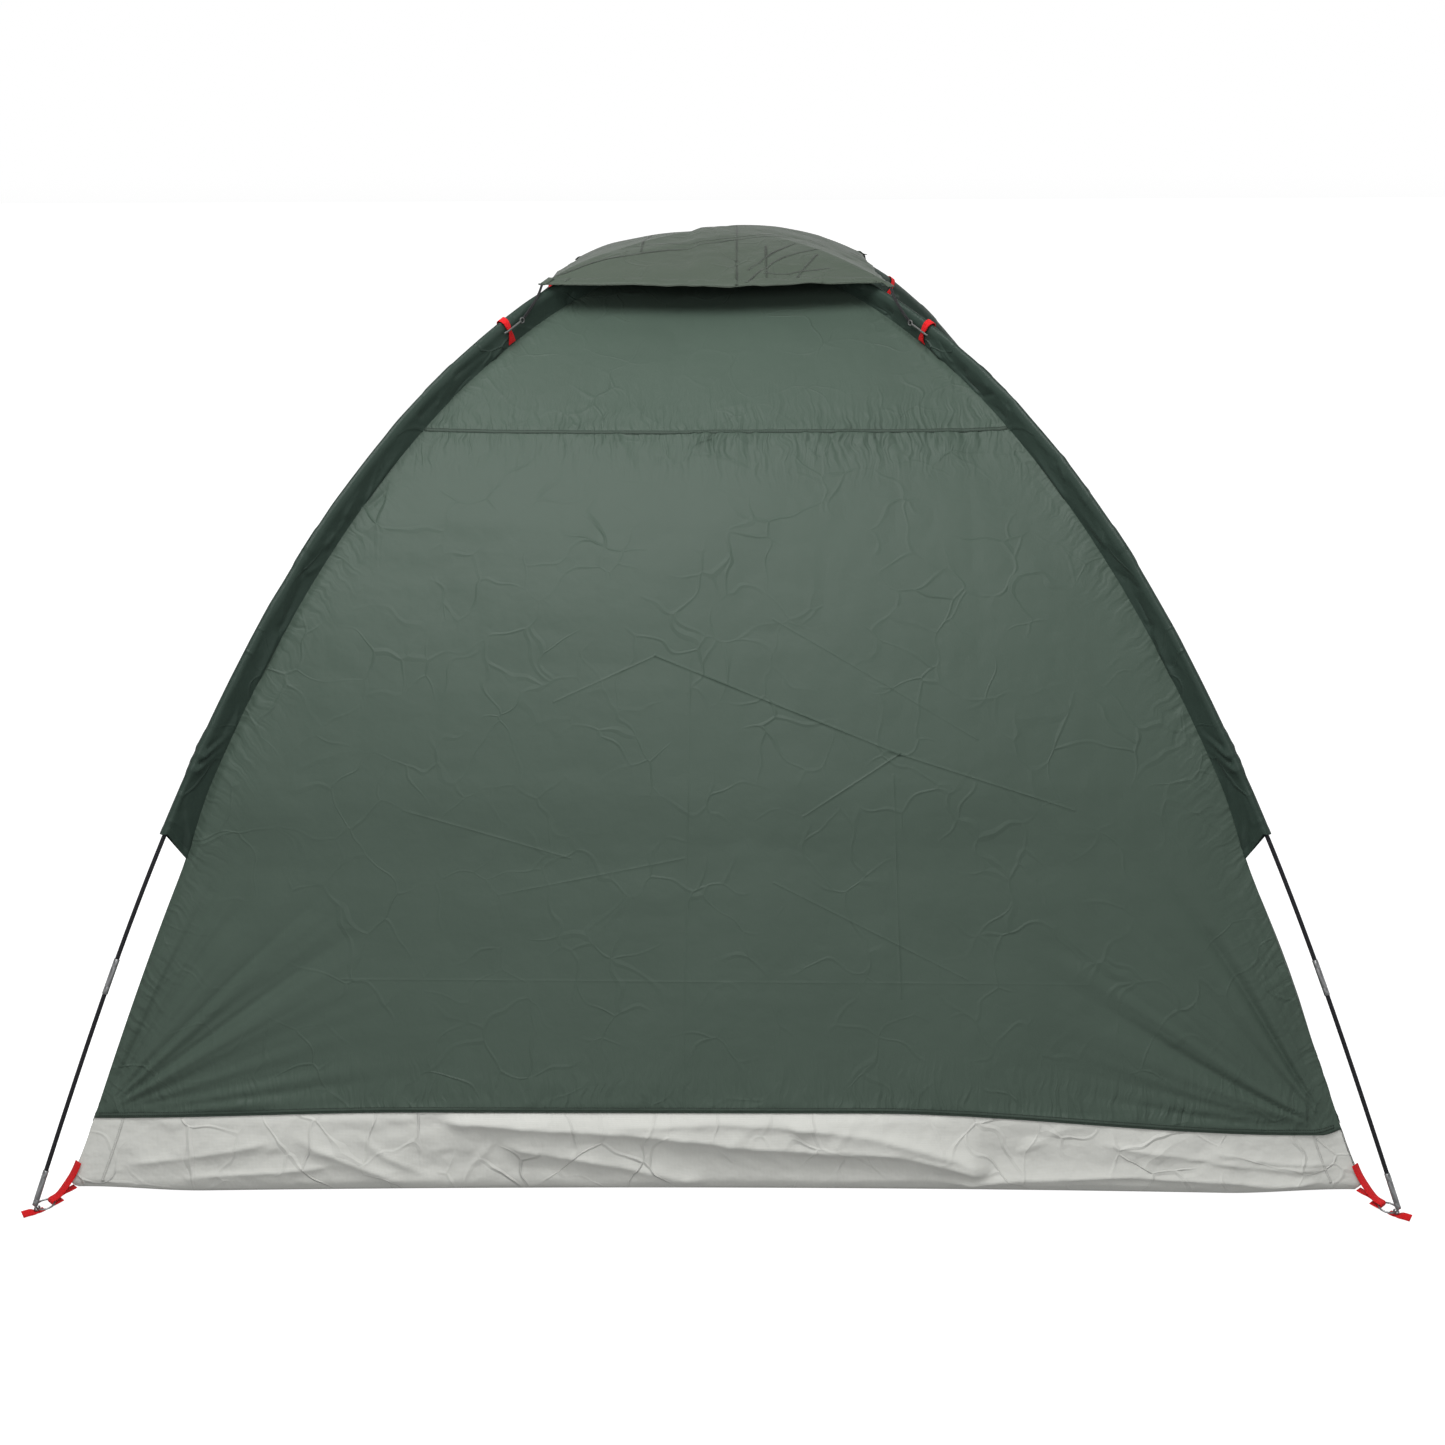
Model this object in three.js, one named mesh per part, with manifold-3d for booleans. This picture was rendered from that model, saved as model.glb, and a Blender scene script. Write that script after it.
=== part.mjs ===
// A two-pole dome tent, pitched: two crossing fibreglass poles in fabric sleeves, a waterproof tub floor,
// four curved walls with a drop-down door, a mesh roof and a small rain cap hooked over the crossing.
// Millimetres, +Z up. The origin is on the ground under the middle of the floor. The door faces +Y.

import * as THREE from "three";
import Module from "manifold-3d";
import { mergeVertices } from "three/addons/utils/BufferGeometryUtils.js";

// Driving dimensions: the pole feet stand on a rectangle, and each pole bends as a thin elastic strip does.
const FOOT_X = 1105;
const FOOT_Y = 1255;
const FOOT_HEIGHT = 15;
const FOOT_ANGLE = THREE.MathUtils.degToRad(63.1);
const SECTION_LENGTH = 390;

const POLE_RADIUS = 3.6;
const FERRULE_RADIUS = 4.55;
const FERRULE_BORE = 4.05;
const FERRULE_LENGTH = 60;
const PIN_BORE = 2.9;
const PIN_BORE_DEPTH = 40;
const TIP_SOCKET = 44;
const CROSSING_SHIFT = 7;
const CROWN_SAG = 0.17;

// Fabric: how deep below each pole the corner ridge of the walls runs.
const SHEET = 4;
const DEPTH_BARE = 57;
const DEPTH_SLEEVE = 44;
const DEPTH_TOP = 27;
const TUB_HEIGHT = 137;
const SLEEVE_START = 630;
const ROOF_EDGE = 2040;
const SEAM_GAP = 4;
const MITRE_GAP = 0.5;

// Sleeve section round the pole.
const SLEEVE_WALL = 1.4;
const SLEEVE_HALF_WIDTH = 8;
const SLEEVE_TOP = 8.5;
const SLEEVE_SLACK = 6.5;
const SLEEVE_END_GAP = 60;
const TIP_GAP = 2.5;

// Rain cap with its elastic ties, hooks and webbing loops.
const CAP_EDGE = 1862;
const CAP_SHEET = 3;
const CAP_RISE_TOP = 20;
const CAP_RISE_EDGE = 30;
const LOOP_AT = 1735;
const LOOP_WIDTH = 12;
const WEBBING = 1.6;
const TIE_RADIUS = 1.6;
const HOOK_RADIUS = 1.8;

// Corner ring, pin and webbing strap.
const RING_RADIUS = 14;
const WIRE_RADIUS = 1.6;
const RING_HEIGHT = 8.4;
const EYE_RADIUS = 4;
const STRAP_WIDTH = 14;

// Door in the front wall, and its zip sliders.
const DOOR_HALF_WIDTH = 430;
const DOOR_SILL = 180;
const DOOR_STRAIGHT_TOP = 730;
const DOOR_GAP = 3;
const SLIDER_START = 260;
const SLIDER_TRAVEL = 220;
const SLIDER_SIZE = { width: 14, length: 24, height: 5 };
const PULL_SIZE = { width: 8, length: 30, thickness: 1.6 };
const SLIDER_CLEARANCE = 0.8;
const PULL_CLEARANCE = 0.4;

const COLOURS = {
  wall: 0x55655a,
  sleeve: 0x2d3e34,
  cap: 0x5f6c5f,
  tub: 0xc3c5be,
  mesh: 0x23282a,
  pole: 0x1b1c1d,
  steel: 0xc9ccce,
  webbing: 0xd8232a,
  elastic: 0x17181a,
  hook: 0xb9bcb8,
  zip: 0x2b2d2c,
};

const FABRIC = { roughness: 0.75, metalness: 0 };
const METAL = { roughness: 0.3, metalness: 1 };
const PLASTIC = { roughness: 0.4, metalness: 0 };

const { Manifold, Mesh: SolidMesh } = await loadSolids();

async function loadSolids() {
  const wasm = await Module();
  wasm.setup();
  return wasm;
}

const tent = new THREE.Group();

function addMesh(name, geometry, colour, surface) {
  const material = new THREE.MeshStandardMaterial({ color: COLOURS[colour], ...surface });
  const mesh = new THREE.Mesh(geometry, material);
  mesh.name = name;
  tent.add(mesh);
  return mesh;
}

// ---- Closed shapes from rings of points ----

// Turns the faces outward if the signed volume says that they point in.
function facingOut(positions, faces) {
  const [a, b, c] = [new THREE.Vector3(), new THREE.Vector3(), new THREE.Vector3()];
  let volume = 0;
  for (const [i, j, k] of faces) {
    a.copy(positions[i]);
    b.copy(positions[j]);
    c.copy(positions[k]);
    volume += a.dot(b.cross(c));
  }
  const turned = volume < 0 ? faces.map(([i, j, k]) => [i, k, j]) : faces;
  const geometry = new THREE.BufferGeometry();
  geometry.setFromPoints(positions);
  geometry.setIndex(turned.flat());
  geometry.computeVertexNormals();
  return geometry;
}

function sideFaces(rings, count, start, flip) {
  const faces = [];
  for (let i = 0; i < rings - 1; i++) {
    for (let j = 0; j < count; j++) {
      const here = start + i * count;
      const next = here + count;
      const k = (j + 1) % count;
      const quad = [here + j, here + k, next + k, next + j];
      if (flip) quad.reverse();
      faces.push([quad[0], quad[1], quad[2]], [quad[0], quad[2], quad[3]]);
    }
  }
  return faces;
}

// A solid through convex rings, closed by a cap on its first and its last ring.
function loft(rings) {
  const count = rings[0].length;
  const last = (rings.length - 1) * count;
  const faces = sideFaces(rings.length, count, 0, false);
  for (let j = 1; j < count - 1; j++) {
    faces.push([0, j + 1, j], [last, last + j, last + j + 1]);
  }
  return facingOut(rings.flat(), faces);
}

// A hollow sleeve: outer rings, inner rings and the two rims between them.
function hollowLoft(outerRings, innerRings) {
  const count = outerRings[0].length;
  const inner = outerRings.length * count;
  const last = (outerRings.length - 1) * count;
  const faces = [
    ...sideFaces(outerRings.length, count, 0, false),
    ...sideFaces(innerRings.length, count, inner, true),
  ];
  for (let j = 0; j < count; j++) {
    const k = (j + 1) % count;
    faces.push([k, j, inner + j], [k, inner + j, inner + k]);
    faces.push([last + j, last + k, inner + last + k], [last + j, inner + last + k, inner + last + j]);
  }
  return facingOut([...outerRings.flat(), ...innerRings.flat()], faces);
}

function polygon(radius, sides) {
  const points = [];
  for (let i = 0; i < sides; i++) {
    const turn = (i / sides) * 2 * Math.PI;
    points.push(new THREE.Vector2(radius * Math.cos(turn), radius * Math.sin(turn)));
  }
  return new THREE.Shape(points);
}

function tube(points, radius, sides, count) {
  const path = new THREE.CatmullRomCurve3(points, false, "centripetal");
  return new THREE.ExtrudeGeometry(polygon(radius, sides), {
    extrudePath: path,
    steps: count,
    bevelEnabled: false,
  });
}

// ---- The bent pole and the ridge of fabric below it ----

const HALF_SPAN = Math.hypot(FOOT_X, FOOT_Y);
const TOWARD_X = FOOT_X / HALF_SPAN;
const TOWARD_Y = FOOT_Y / HALF_SPAN;

// Elastic arch from foot to crown: arc length s, distance r from the middle, height z, slope angle.
function elasticArch(count) {
  const k = Math.sin(FOOT_ANGLE / 2);
  const rows = [];
  let length = 0;
  let reach = 0;
  let before = null;
  for (let i = 0; i <= count; i++) {
    const phi = (Math.PI / 2) * (1 - i / count);
    const angle = 2 * Math.asin(k * Math.sin(phi));
    const rate = 1 / Math.sqrt(1 - (k * Math.sin(phi)) ** 2);
    const run = rate * Math.cos(angle);
    if (before) {
      const half = Math.PI / 4 / count;
      length += half * (rate + before.rate);
      reach += half * (run + before.run);
    }
    before = { rate, run };
    rows.push({ s: length, r: reach, z: 2 * k * Math.cos(phi), angle });
  }
  const scale = HALF_SPAN / reach;
  return rows.map((row) => ({
    s: row.s * scale,
    r: HALF_SPAN - row.r * scale,
    z: FOOT_HEIGHT + row.z * scale,
    angle: row.angle,
  }));
}

const ARCH = elasticArch(600);
const CROWN = ARCH[ARCH.length - 1];

function poleAt(s) {
  const next = Math.max(1, ARCH.findIndex((row) => row.s >= Math.min(s, CROWN.s)));
  const a = ARCH[next - 1];
  const b = ARCH[next];
  const t = (s - a.s) / (b.s - a.s);
  const mix = THREE.MathUtils.lerp;
  return { r: mix(a.r, b.r, t), z: mix(a.z, b.z, t), angle: mix(a.angle, b.angle, t) };
}

// The ridge hangs deepest below the bare foot of the pole and closes up towards the crown.
function ridgeDepth(s) {
  const along = THREE.MathUtils.clamp((s - SLEEVE_START) / (ROOF_EDGE - SLEEVE_START), 0, 1);
  const inSleeve = THREE.MathUtils.lerp(DEPTH_SLEEVE, DEPTH_TOP, along);
  const bare = 1 - THREE.MathUtils.smoothstep(s, SLEEVE_START - 60, SLEEVE_START + 120);
  return inSleeve + bare * (DEPTH_BARE - DEPTH_SLEEVE);
}

function ridgeAt(s, extra = 0) {
  const pole = poleAt(s);
  const depth = ridgeDepth(s) + extra;
  return { r: pole.r - depth * Math.sin(pole.angle), z: pole.z - depth * Math.cos(pole.angle) };
}

function ridgeAtHeight(z, extra = 0) {
  let low = 0;
  let high = CROWN.s;
  for (let i = 0; i < 40; i++) {
    const middle = (low + high) / 2;
    if (ridgeAt(middle, extra).z < z) low = middle;
    else high = middle;
  }
  return { s: low, ...ridgeAt(low, extra) };
}

// ---- Corners and sides ----

const CORNERS = [
  { name: "back_left", x: -1, y: -1, shift: CROSSING_SHIFT },
  { name: "back_right", x: 1, y: -1, shift: -CROSSING_SHIFT },
  { name: "front_right", x: 1, y: 1, shift: CROSSING_SHIFT },
  { name: "front_left", x: -1, y: 1, shift: -CROSSING_SHIFT },
];

// One pole runs over the other: each is shifted up or down near the crown.
function crossingShift(corner, s) {
  return corner.shift * (poleAt(s).z / CROWN.z) ** 8;
}

// A point in a corner's upright plane: along the pole by s, below it by depth, and to one side.
function nearPole(corner, s, depth = 0, side = 0) {
  const pole = poleAt(s);
  const r = pole.r - depth * Math.sin(pole.angle);
  const z = pole.z - depth * Math.cos(pole.angle) + crossingShift(corner, s);
  return inPlane(corner, r, z, side);
}

function faceOfSleeve(corner, s, depth, side) {
  return nearPole(corner, s, depth, side * corner.x * corner.y);
}

function inPlane(corner, r, z, side = 0) {
  const outX = corner.x * TOWARD_X;
  const outY = corner.y * TOWARD_Y;
  return new THREE.Vector3(r * outX - side * outY, r * outY + side * outX, z);
}

function spread(from, to, count) {
  return Array.from({ length: count + 1 }, (_, i) => from + ((to - from) * i) / count);
}

const SIDES = {
  back: { along: [1, 0], out: [0, -1], reach: TOWARD_Y, half: TOWARD_X },
  right: { along: [0, 1], out: [1, 0], reach: TOWARD_X, half: TOWARD_Y },
  front: { along: [-1, 0], out: [0, 1], reach: TOWARD_Y, half: TOWARD_X },
  left: { along: [0, -1], out: [-1, 0], reach: TOWARD_X, half: TOWARD_Y },
};

// A wall is straight from side to side and bends upward with the ridges.
function wallGeometry(side) {
  const lowest = ridgeAtHeight(TUB_HEIGHT + SEAM_GAP).s;
  const rings = spread(lowest, ROOF_EDGE - SEAM_GAP, 13).map((s) => {
    const outer = wallEdge(side, ridgeAt(s));
    const inner = wallEdge(side, ridgeAt(s, SHEET));
    return [outer(-1), outer(1), inner(1), inner(-1)];
  });
  return loft(rings);
}

function wallEdge(side, ridge) {
  const half = ridge.r * side.half - MITRE_GAP;
  const out = ridge.r * side.reach;
  return (end) => new THREE.Vector3(
    end * half * side.along[0] + out * side.out[0],
    end * half * side.along[1] + out * side.out[1],
    ridge.z,
  );
}

// A square patch of the dome over the crossing, in levels from the crown to its edge.
function domePatch(levels, ridgeOfLevel, thickness) {
  const wide = 2 * levels + 1;
  const positions = [];
  for (const drop of [0, thickness]) {
    for (let j = -levels; j <= levels; j++) {
      for (let i = -levels; i <= levels; i++) {
        const level = Math.max(Math.abs(i), Math.abs(j));
        const { r, z } = ridgeOfLevel(level / levels);
        const share = level ? r / level : 0;
        positions.push(new THREE.Vector3(i * share * TOWARD_X, j * share * TOWARD_Y, z - drop));
      }
    }
  }
  const under = wide * wide;
  const faces = [];
  for (let j = 0; j < wide - 1; j++) {
    for (let i = 0; i < wide - 1; i++) {
      const [a, b] = [j * wide + i, j * wide + i + 1];
      const [c, d] = [b + wide, a + wide];
      const falling = (i < levels) !== (j < levels);
      const split = falling ? [[a, b, d], [b, c, d]] : [[a, b, c], [a, c, d]];
      for (const [p, q, t] of split) faces.push([p, q, t], [p + under, t + under, q + under]);
    }
  }
  const rim = rimIndices(wide);
  rim.forEach((p, n) => {
    const q = rim[(n + 1) % rim.length];
    faces.push([q, p, p + under], [q, p + under, q + under]);
  });
  return facingOut(positions, faces);
}

function rimIndices(wide) {
  const last = wide - 1;
  const run = spread(0, last - 1, last - 1);
  return [
    ...run.map((i) => i),
    ...run.map((j) => j * wide + last),
    ...run.map((i) => last * wide + last - i),
    ...run.map((j) => (last - j) * wide),
  ];
}

// ---- Fabric pieces ----

function addTub() {
  const ring = (z, extra) => {
    const { r } = ridgeAtHeight(z, extra);
    return CORNERS.map((corner) => inPlane(corner, r, z));
  };
  const outer = spread(0, TUB_HEIGHT, 3).map((z) => ring(z, 0));
  const inner = spread(TUB_HEIGHT, SHEET, 3).map((z) => ring(z, SHEET));
  addMesh("floor_tub", loft([...outer, ...inner]), "tub", FABRIC);
}

function toSolid(geometry) {
  const bare = geometry.clone();
  bare.deleteAttribute("normal");
  bare.deleteAttribute("uv");
  const merged = mergeVertices(bare, 1e-3);
  return new Manifold(new SolidMesh({
    numProp: 3,
    vertProperties: new Float32Array(merged.attributes.position.array),
    triVerts: new Uint32Array(merged.index.array),
  }));
}

function fromSolid(solid) {
  const { vertProperties, triVerts } = solid.getMesh();
  const geometry = new THREE.BufferGeometry();
  geometry.setAttribute("position", new THREE.BufferAttribute(vertProperties, 3));
  geometry.setIndex(new THREE.BufferAttribute(triVerts, 1));
  geometry.computeVertexNormals();
  return geometry;
}

// The doorway's outline, an arch on straight sides, drawn outside its edge line by grow.
function doorwayPrism(grow) {
  const radius = DOOR_HALF_WIDTH + grow;
  const outline = new THREE.Shape();
  outline.moveTo(-radius, DOOR_SILL - grow);
  outline.lineTo(radius, DOOR_SILL - grow);
  outline.lineTo(radius, DOOR_STRAIGHT_TOP);
  outline.absarc(0, DOOR_STRAIGHT_TOP, radius, 0, Math.PI, false);
  const prism = new THREE.ExtrudeGeometry(outline, {
    depth: FOOT_Y,
    curveSegments: 8,
    bevelEnabled: false,
  });
  prism.rotateX(Math.PI / 2);
  prism.translate(0, FOOT_Y, 0);
  return prism;
}

function addWalls() {
  for (const name of ["back", "left", "right"]) {
    addMesh(`${name}_wall`, wallGeometry(SIDES[name]), "wall", FABRIC);
  }
  const front = toSolid(wallGeometry(SIDES.front));
  const wall = front.subtract(toSolid(doorwayPrism(0)));
  const door = front.intersect(toSolid(doorwayPrism(-DOOR_GAP)));
  addMesh("front_wall", fromSolid(wall), "wall", FABRIC);
  addMesh("door_panel", fromSolid(door), "wall", FABRIC);
}

function addRoofAndCap() {
  const roofLevel = (t) => ridgeAt(THREE.MathUtils.lerp(CROWN.s, ROOF_EDGE, t));
  addMesh("roof_mesh", domePatch(4, roofLevel, SHEET), "mesh", FABRIC);
  const capLevel = (t) => {
    const pole = poleAt(THREE.MathUtils.lerp(CROWN.s, CAP_EDGE, t));
    const rise = THREE.MathUtils.lerp(CAP_RISE_TOP, CAP_RISE_EDGE, t);
    return { r: pole.r + rise * Math.sin(pole.angle), z: pole.z + rise * Math.cos(pole.angle) };
  };
  addMesh("rain_cap", domePatch(6, capLevel, CAP_SHEET), "cap", FABRIC);
}

// How far the sleeve reaches outside the pole's line: slack in the middle, tight at its two ends.
function sleeveTop(s) {
  const slack = THREE.MathUtils.smoothstep(s, 700, 1400) * (1 - THREE.MathUtils.smoothstep(s, 1800, 2150));
  return SLEEVE_TOP + SLEEVE_SLACK * slack;
}

// A sleeve is a strip folded round the pole, with both its edges sewn into the ridge seam.
function addSleeve(corner) {
  const half = SLEEVE_HALF_WIDTH;
  const section = (s, wall) => {
    const top = sleeveTop(s);
    const shoulder = { depth: 0.7 * top, side: 0.7 * half };
    const tip = ridgeDepth(s) - TIP_GAP + crossingShift(corner, s) - 3 * wall;
    const edge = SLEEVE_WALL + 0.2 - 0.8 * wall;
    const place = (depth, side) => nearPole(corner, s, depth, side);
    return [
      place(tip, edge),
      place(wall, half - wall),
      place(wall - shoulder.depth, shoulder.side - 0.7 * wall),
      place(wall - top, 0),
      place(wall - shoulder.depth, 0.7 * wall - shoulder.side),
      place(wall, wall - half),
      place(tip, -edge),
    ];
  };
  const along = spread(SLEEVE_START, CROWN.s - SLEEVE_END_GAP, 18);
  const outer = along.map((s) => section(s, 0));
  const inner = along.map((s) => section(s, SLEEVE_WALL));
  addMesh(`pole_sleeve_${corner.name}`, hollowLoft(outer, inner), "sleeve", FABRIC);
}

// ---- Poles ----

// Turns a lathe part, drawn along +Y, onto the pole at s.
function setOnPole(mesh, corner, s) {
  const ahead = nearPole(corner, s + 1).sub(nearPole(corner, s - 1)).normalize();
  mesh.quaternion.setFromUnitVectors(new THREE.Vector3(0, 1, 0), ahead);
  mesh.position.copy(nearPole(corner, s));
}

function latheFrom(profile) {
  return new THREE.LatheGeometry(profile.map(([r, y]) => new THREE.Vector2(r, y)), 12);
}

function ferruleGeometry() {
  const half = FERRULE_LENGTH / 2;
  return latheFrom([
    [FERRULE_BORE, -half],
    [FERRULE_RADIUS, -half],
    [FERRULE_RADIUS, half],
    [FERRULE_BORE, half],
    [FERRULE_BORE, -half],
  ]);
}

function addTip(corner) {
  const tip = addMesh(`pole_tip_${corner.name}`, latheFrom([
    [0, PIN_BORE_DEPTH],
    [PIN_BORE, PIN_BORE_DEPTH],
    [PIN_BORE, 0],
    [FERRULE_RADIUS, 0],
    [FERRULE_RADIUS, FERRULE_LENGTH],
    [FERRULE_BORE, FERRULE_LENGTH],
    [FERRULE_BORE, TIP_SOCKET],
    [0, TIP_SOCKET],
  ]), "steel", METAL);
  setOnPole(tip, corner, FERRULE_LENGTH / 2);
  tip.translateY(-FERRULE_LENGTH / 2);
}

function addRod(name, corner, stations) {
  const turns = spread(0, 2 * Math.PI, 8).slice(1);
  const rings = stations.map((s) => turns.map((turn) =>
    nearPole(corner, s, POLE_RADIUS * Math.cos(turn), POLE_RADIUS * Math.sin(turn))));
  addMesh(name, loft(rings), "pole", PLASTIC);
}

function addPoleLeg(corner) {
  addTip(corner);
  addRod(`pole_lower_${corner.name}`, corner, spread(TIP_SOCKET + 1, SECTION_LENGTH - 0.5, 6));
  const ferrule = addMesh(`pole_ferrule_${corner.name}`, ferruleGeometry(), "steel", METAL);
  setOnPole(ferrule, corner, SECTION_LENGTH);
  const crown = CROWN.s - 0.5;
  const stations = spread(SECTION_LENGTH + 0.5, crown - FERRULE_LENGTH / 2, 20);
  addRod(`pole_upper_${corner.name}`, corner, [...stations, crown]);
}

// The middle joint of each pole is at the crown, where the poles cross.
function addCrownFerrules() {
  for (const corner of CORNERS.slice(0, 2)) {
    const name = corner.shift > 0 ? "crown_ferrule_upper_pole" : "crown_ferrule_lower_pole";
    const ferrule = addMesh(name, ferruleGeometry(), "steel", METAL);
    const heading = new THREE.Vector3(-corner.x * TOWARD_X, -corner.y * TOWARD_Y, 0);
    ferrule.quaternion.setFromUnitVectors(new THREE.Vector3(0, 1, 0), heading);
    ferrule.position.set(0, 0, CROWN.z + corner.shift - CROWN_SAG);
  }
}

// ---- Corner hardware ----

const RING_CENTRE = HALF_SPAN - 3 - RING_RADIUS;

function addRing(corner) {
  const ring = addMesh(
    `corner_ring_${corner.name}`,
    new THREE.TorusGeometry(RING_RADIUS, WIRE_RADIUS, 6, 18),
    "steel",
    METAL,
  );
  ring.position.copy(inPlane(corner, RING_CENTRE, RING_HEIGHT));
}

// The pin stands in the pole's tip; its lower end is an eye round the ring's outer side.
function addPin(corner) {
  const eyeR = RING_CENTRE + RING_RADIUS;
  const points = [
    nearPole(corner, PIN_BORE_DEPTH - 4),
    nearPole(corner, PIN_BORE_DEPTH / 2),
    nearPole(corner, 2),
  ];
  for (const degrees of [60, 20, -20, -60, -100, -140, -180, -220]) {
    const turn = THREE.MathUtils.degToRad(degrees);
    const r = eyeR + EYE_RADIUS * Math.cos(turn);
    points.push(inPlane(corner, r, RING_HEIGHT + EYE_RADIUS * Math.sin(turn)));
  }
  addMesh(`corner_pin_${corner.name}`, tube(points, WIRE_RADIUS, 6, 22), "steel", METAL);
}

// A flat band of webbing through points in a corner's upright plane, each [distance out, height].
function band(corner, points, width) {
  const path = new THREE.CatmullRomCurve3(
    points.map(([r, z]) => new THREE.Vector3(r, z, 0)),
    false,
    "centripetal",
  );
  const count = 2 * points.length;
  const rings = spread(0, 1, count).map((t) => {
    const at = path.getPointAt(t);
    const ahead = path.getTangentAt(t);
    const across = { r: (-ahead.y * WEBBING) / 2, z: (ahead.x * WEBBING) / 2 };
    return [[1, 1], [1, -1], [-1, -1], [-1, 1]].map(([up, side]) =>
      inPlane(corner, at.x + up * across.r, at.y + up * across.z, (side * width) / 2));
  });
  return loft(rings);
}

// The strap loops over the ring and back to the tub's corner, with a pull tail that runs out under the pin.
function addStrap(corner) {
  const wire = RING_CENTRE - RING_RADIUS;
  const seam = (z, away) => [ridgeAtHeight(z).r + away, z];
  const aroundWire = [75, 35, 0, -35, -75].map((degrees) => {
    const turn = THREE.MathUtils.degToRad(degrees);
    return [wire + 1 + EYE_RADIUS * Math.cos(turn), RING_HEIGHT + EYE_RADIUS * Math.sin(turn)];
  });
  const loop = [
    seam(62, 3),
    seam(36, 3),
    [wire - 12, RING_HEIGHT + 7],
    ...aroundWire,
    [wire - 12, RING_HEIGHT - 5],
    seam(1.5, 6),
  ];
  const tail = [
    seam(1.2, 5),
    [wire, 1.2],
    [HALF_SPAN - 3, 1.2],
    [HALF_SPAN + 18, 1.6],
    [HALF_SPAN + 42, 3],
  ];
  const upper = toSolid(band(corner, loop, STRAP_WIDTH));
  const lower = toSolid(band(corner, tail, STRAP_WIDTH - 2));
  addMesh(`corner_strap_${corner.name}`, fromSolid(upper.add(lower)), "webbing", FABRIC);
}

// ---- Rain cap fixings ----

// A webbing loop bridges the sleeve, from the ridge seam on one side of it to the other.
function addSleeveLoop(corner) {
  const foot = ridgeDepth(LOOP_AT) + crossingShift(corner, LOOP_AT) - 3;
  const half = SLEEVE_HALF_WIDTH + 3.5;
  const outline = [[foot, 4.2], [14, half - 1], [0, half], [-14, half - 2.5], [-19.5, 0]];
  const path = [...outline, ...outline.slice(0, -1).reverse().map(([depth, side]) => [depth, -side])];
  const rings = path.map(([depth, side], i) => {
    const [a, b] = [path[Math.max(i - 1, 0)], path[Math.min(i + 1, path.length - 1)]];
    const length = Math.hypot(b[0] - a[0], b[1] - a[1]);
    const out = [(-(b[1] - a[1]) / length) * WEBBING / 2, ((b[0] - a[0]) / length) * WEBBING / 2];
    return [[1, 1], [1, -1], [-1, -1], [-1, 1]].map(([up, end]) =>
      nearPole(corner, LOOP_AT + (end * LOOP_WIDTH) / 2, depth + up * out[0], side + up * out[1]));
  });
  addMesh(`sleeve_loop_${corner.name}`, loft(rings), "webbing", FABRIC);
}

// The hook lies on the sleeve's outward face. Its route is [distance past the loop, depth, side].
function addHook(corner) {
  const route = [[30, 2, 14.8], [20, 2, 15], [8, 2, 15], [-4, 2, 15], [-12, 2, 14.6], [-15, 2, 13.6]];
  const points = route.map(([along, depth, side]) => faceOfSleeve(corner, LOOP_AT + along, depth, side));
  addMesh(`cap_hook_${corner.name}`, tube(points, HOOK_RADIUS, 6, 10), "hook", PLASTIC);
}

function addTie(corner) {
  const points = [
    faceOfSleeve(corner, LOOP_AT + 32.5, 2, 14.8),
    faceOfSleeve(corner, LOOP_AT + 62, -7, 13),
    faceOfSleeve(corner, LOOP_AT + 92, -18, 8.5),
    faceOfSleeve(corner, CAP_EDGE - 8, -CAP_RISE_EDGE + 3, 0),
  ];
  addMesh(`cap_tie_${corner.name}`, tube(points, TIE_RADIUS, 6, 6), "elastic", FABRIC);
}

// ---- Zip sliders on the door's two straight sides ----

function doorFaceAt(z) {
  const here = ridgeAtHeight(z);
  const above = ridgeAtHeight(z + 1);
  const slope = Math.atan2(1, (here.r - above.r) * TOWARD_Y);
  return { y: here.r * TOWARD_Y, slope };
}

// Sliders travel along the straight line that touches the bent door at mid travel.
function sliderPlace(distance, off) {
  const middle = doorFaceAt(SLIDER_START + SLIDER_TRAVEL / 2);
  const back = distance - SLIDER_TRAVEL / 2;
  const lean = Math.PI / 2 - middle.slope;
  return {
    y: middle.y - back * Math.sin(lean) + off * Math.cos(lean),
    z: SLIDER_START + SLIDER_TRAVEL / 2 + back * Math.cos(lean) + off * Math.sin(lean),
    lean,
  };
}

function roundedPlate(width, length, corner, thickness) {
  const [w, h] = [width / 2, length / 2];
  const outline = new THREE.Shape();
  outline.moveTo(-w + corner, -h);
  outline.lineTo(w - corner, -h);
  outline.absarc(w - corner, -h + corner, corner, -Math.PI / 2, 0, false);
  outline.absarc(w - corner, h - corner, corner, 0, Math.PI / 2, false);
  outline.absarc(-w + corner, h - corner, corner, Math.PI / 2, Math.PI, false);
  outline.absarc(-w + corner, -h + corner, corner, Math.PI, 1.5 * Math.PI, false);
  const plate = new THREE.ExtrudeGeometry(outline, {
    depth: thickness,
    curveSegments: 2,
    bevelEnabled: false,
  });
  plate.rotateX(Math.PI / 2);
  return plate.translate(0, thickness, 0);
}

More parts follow.
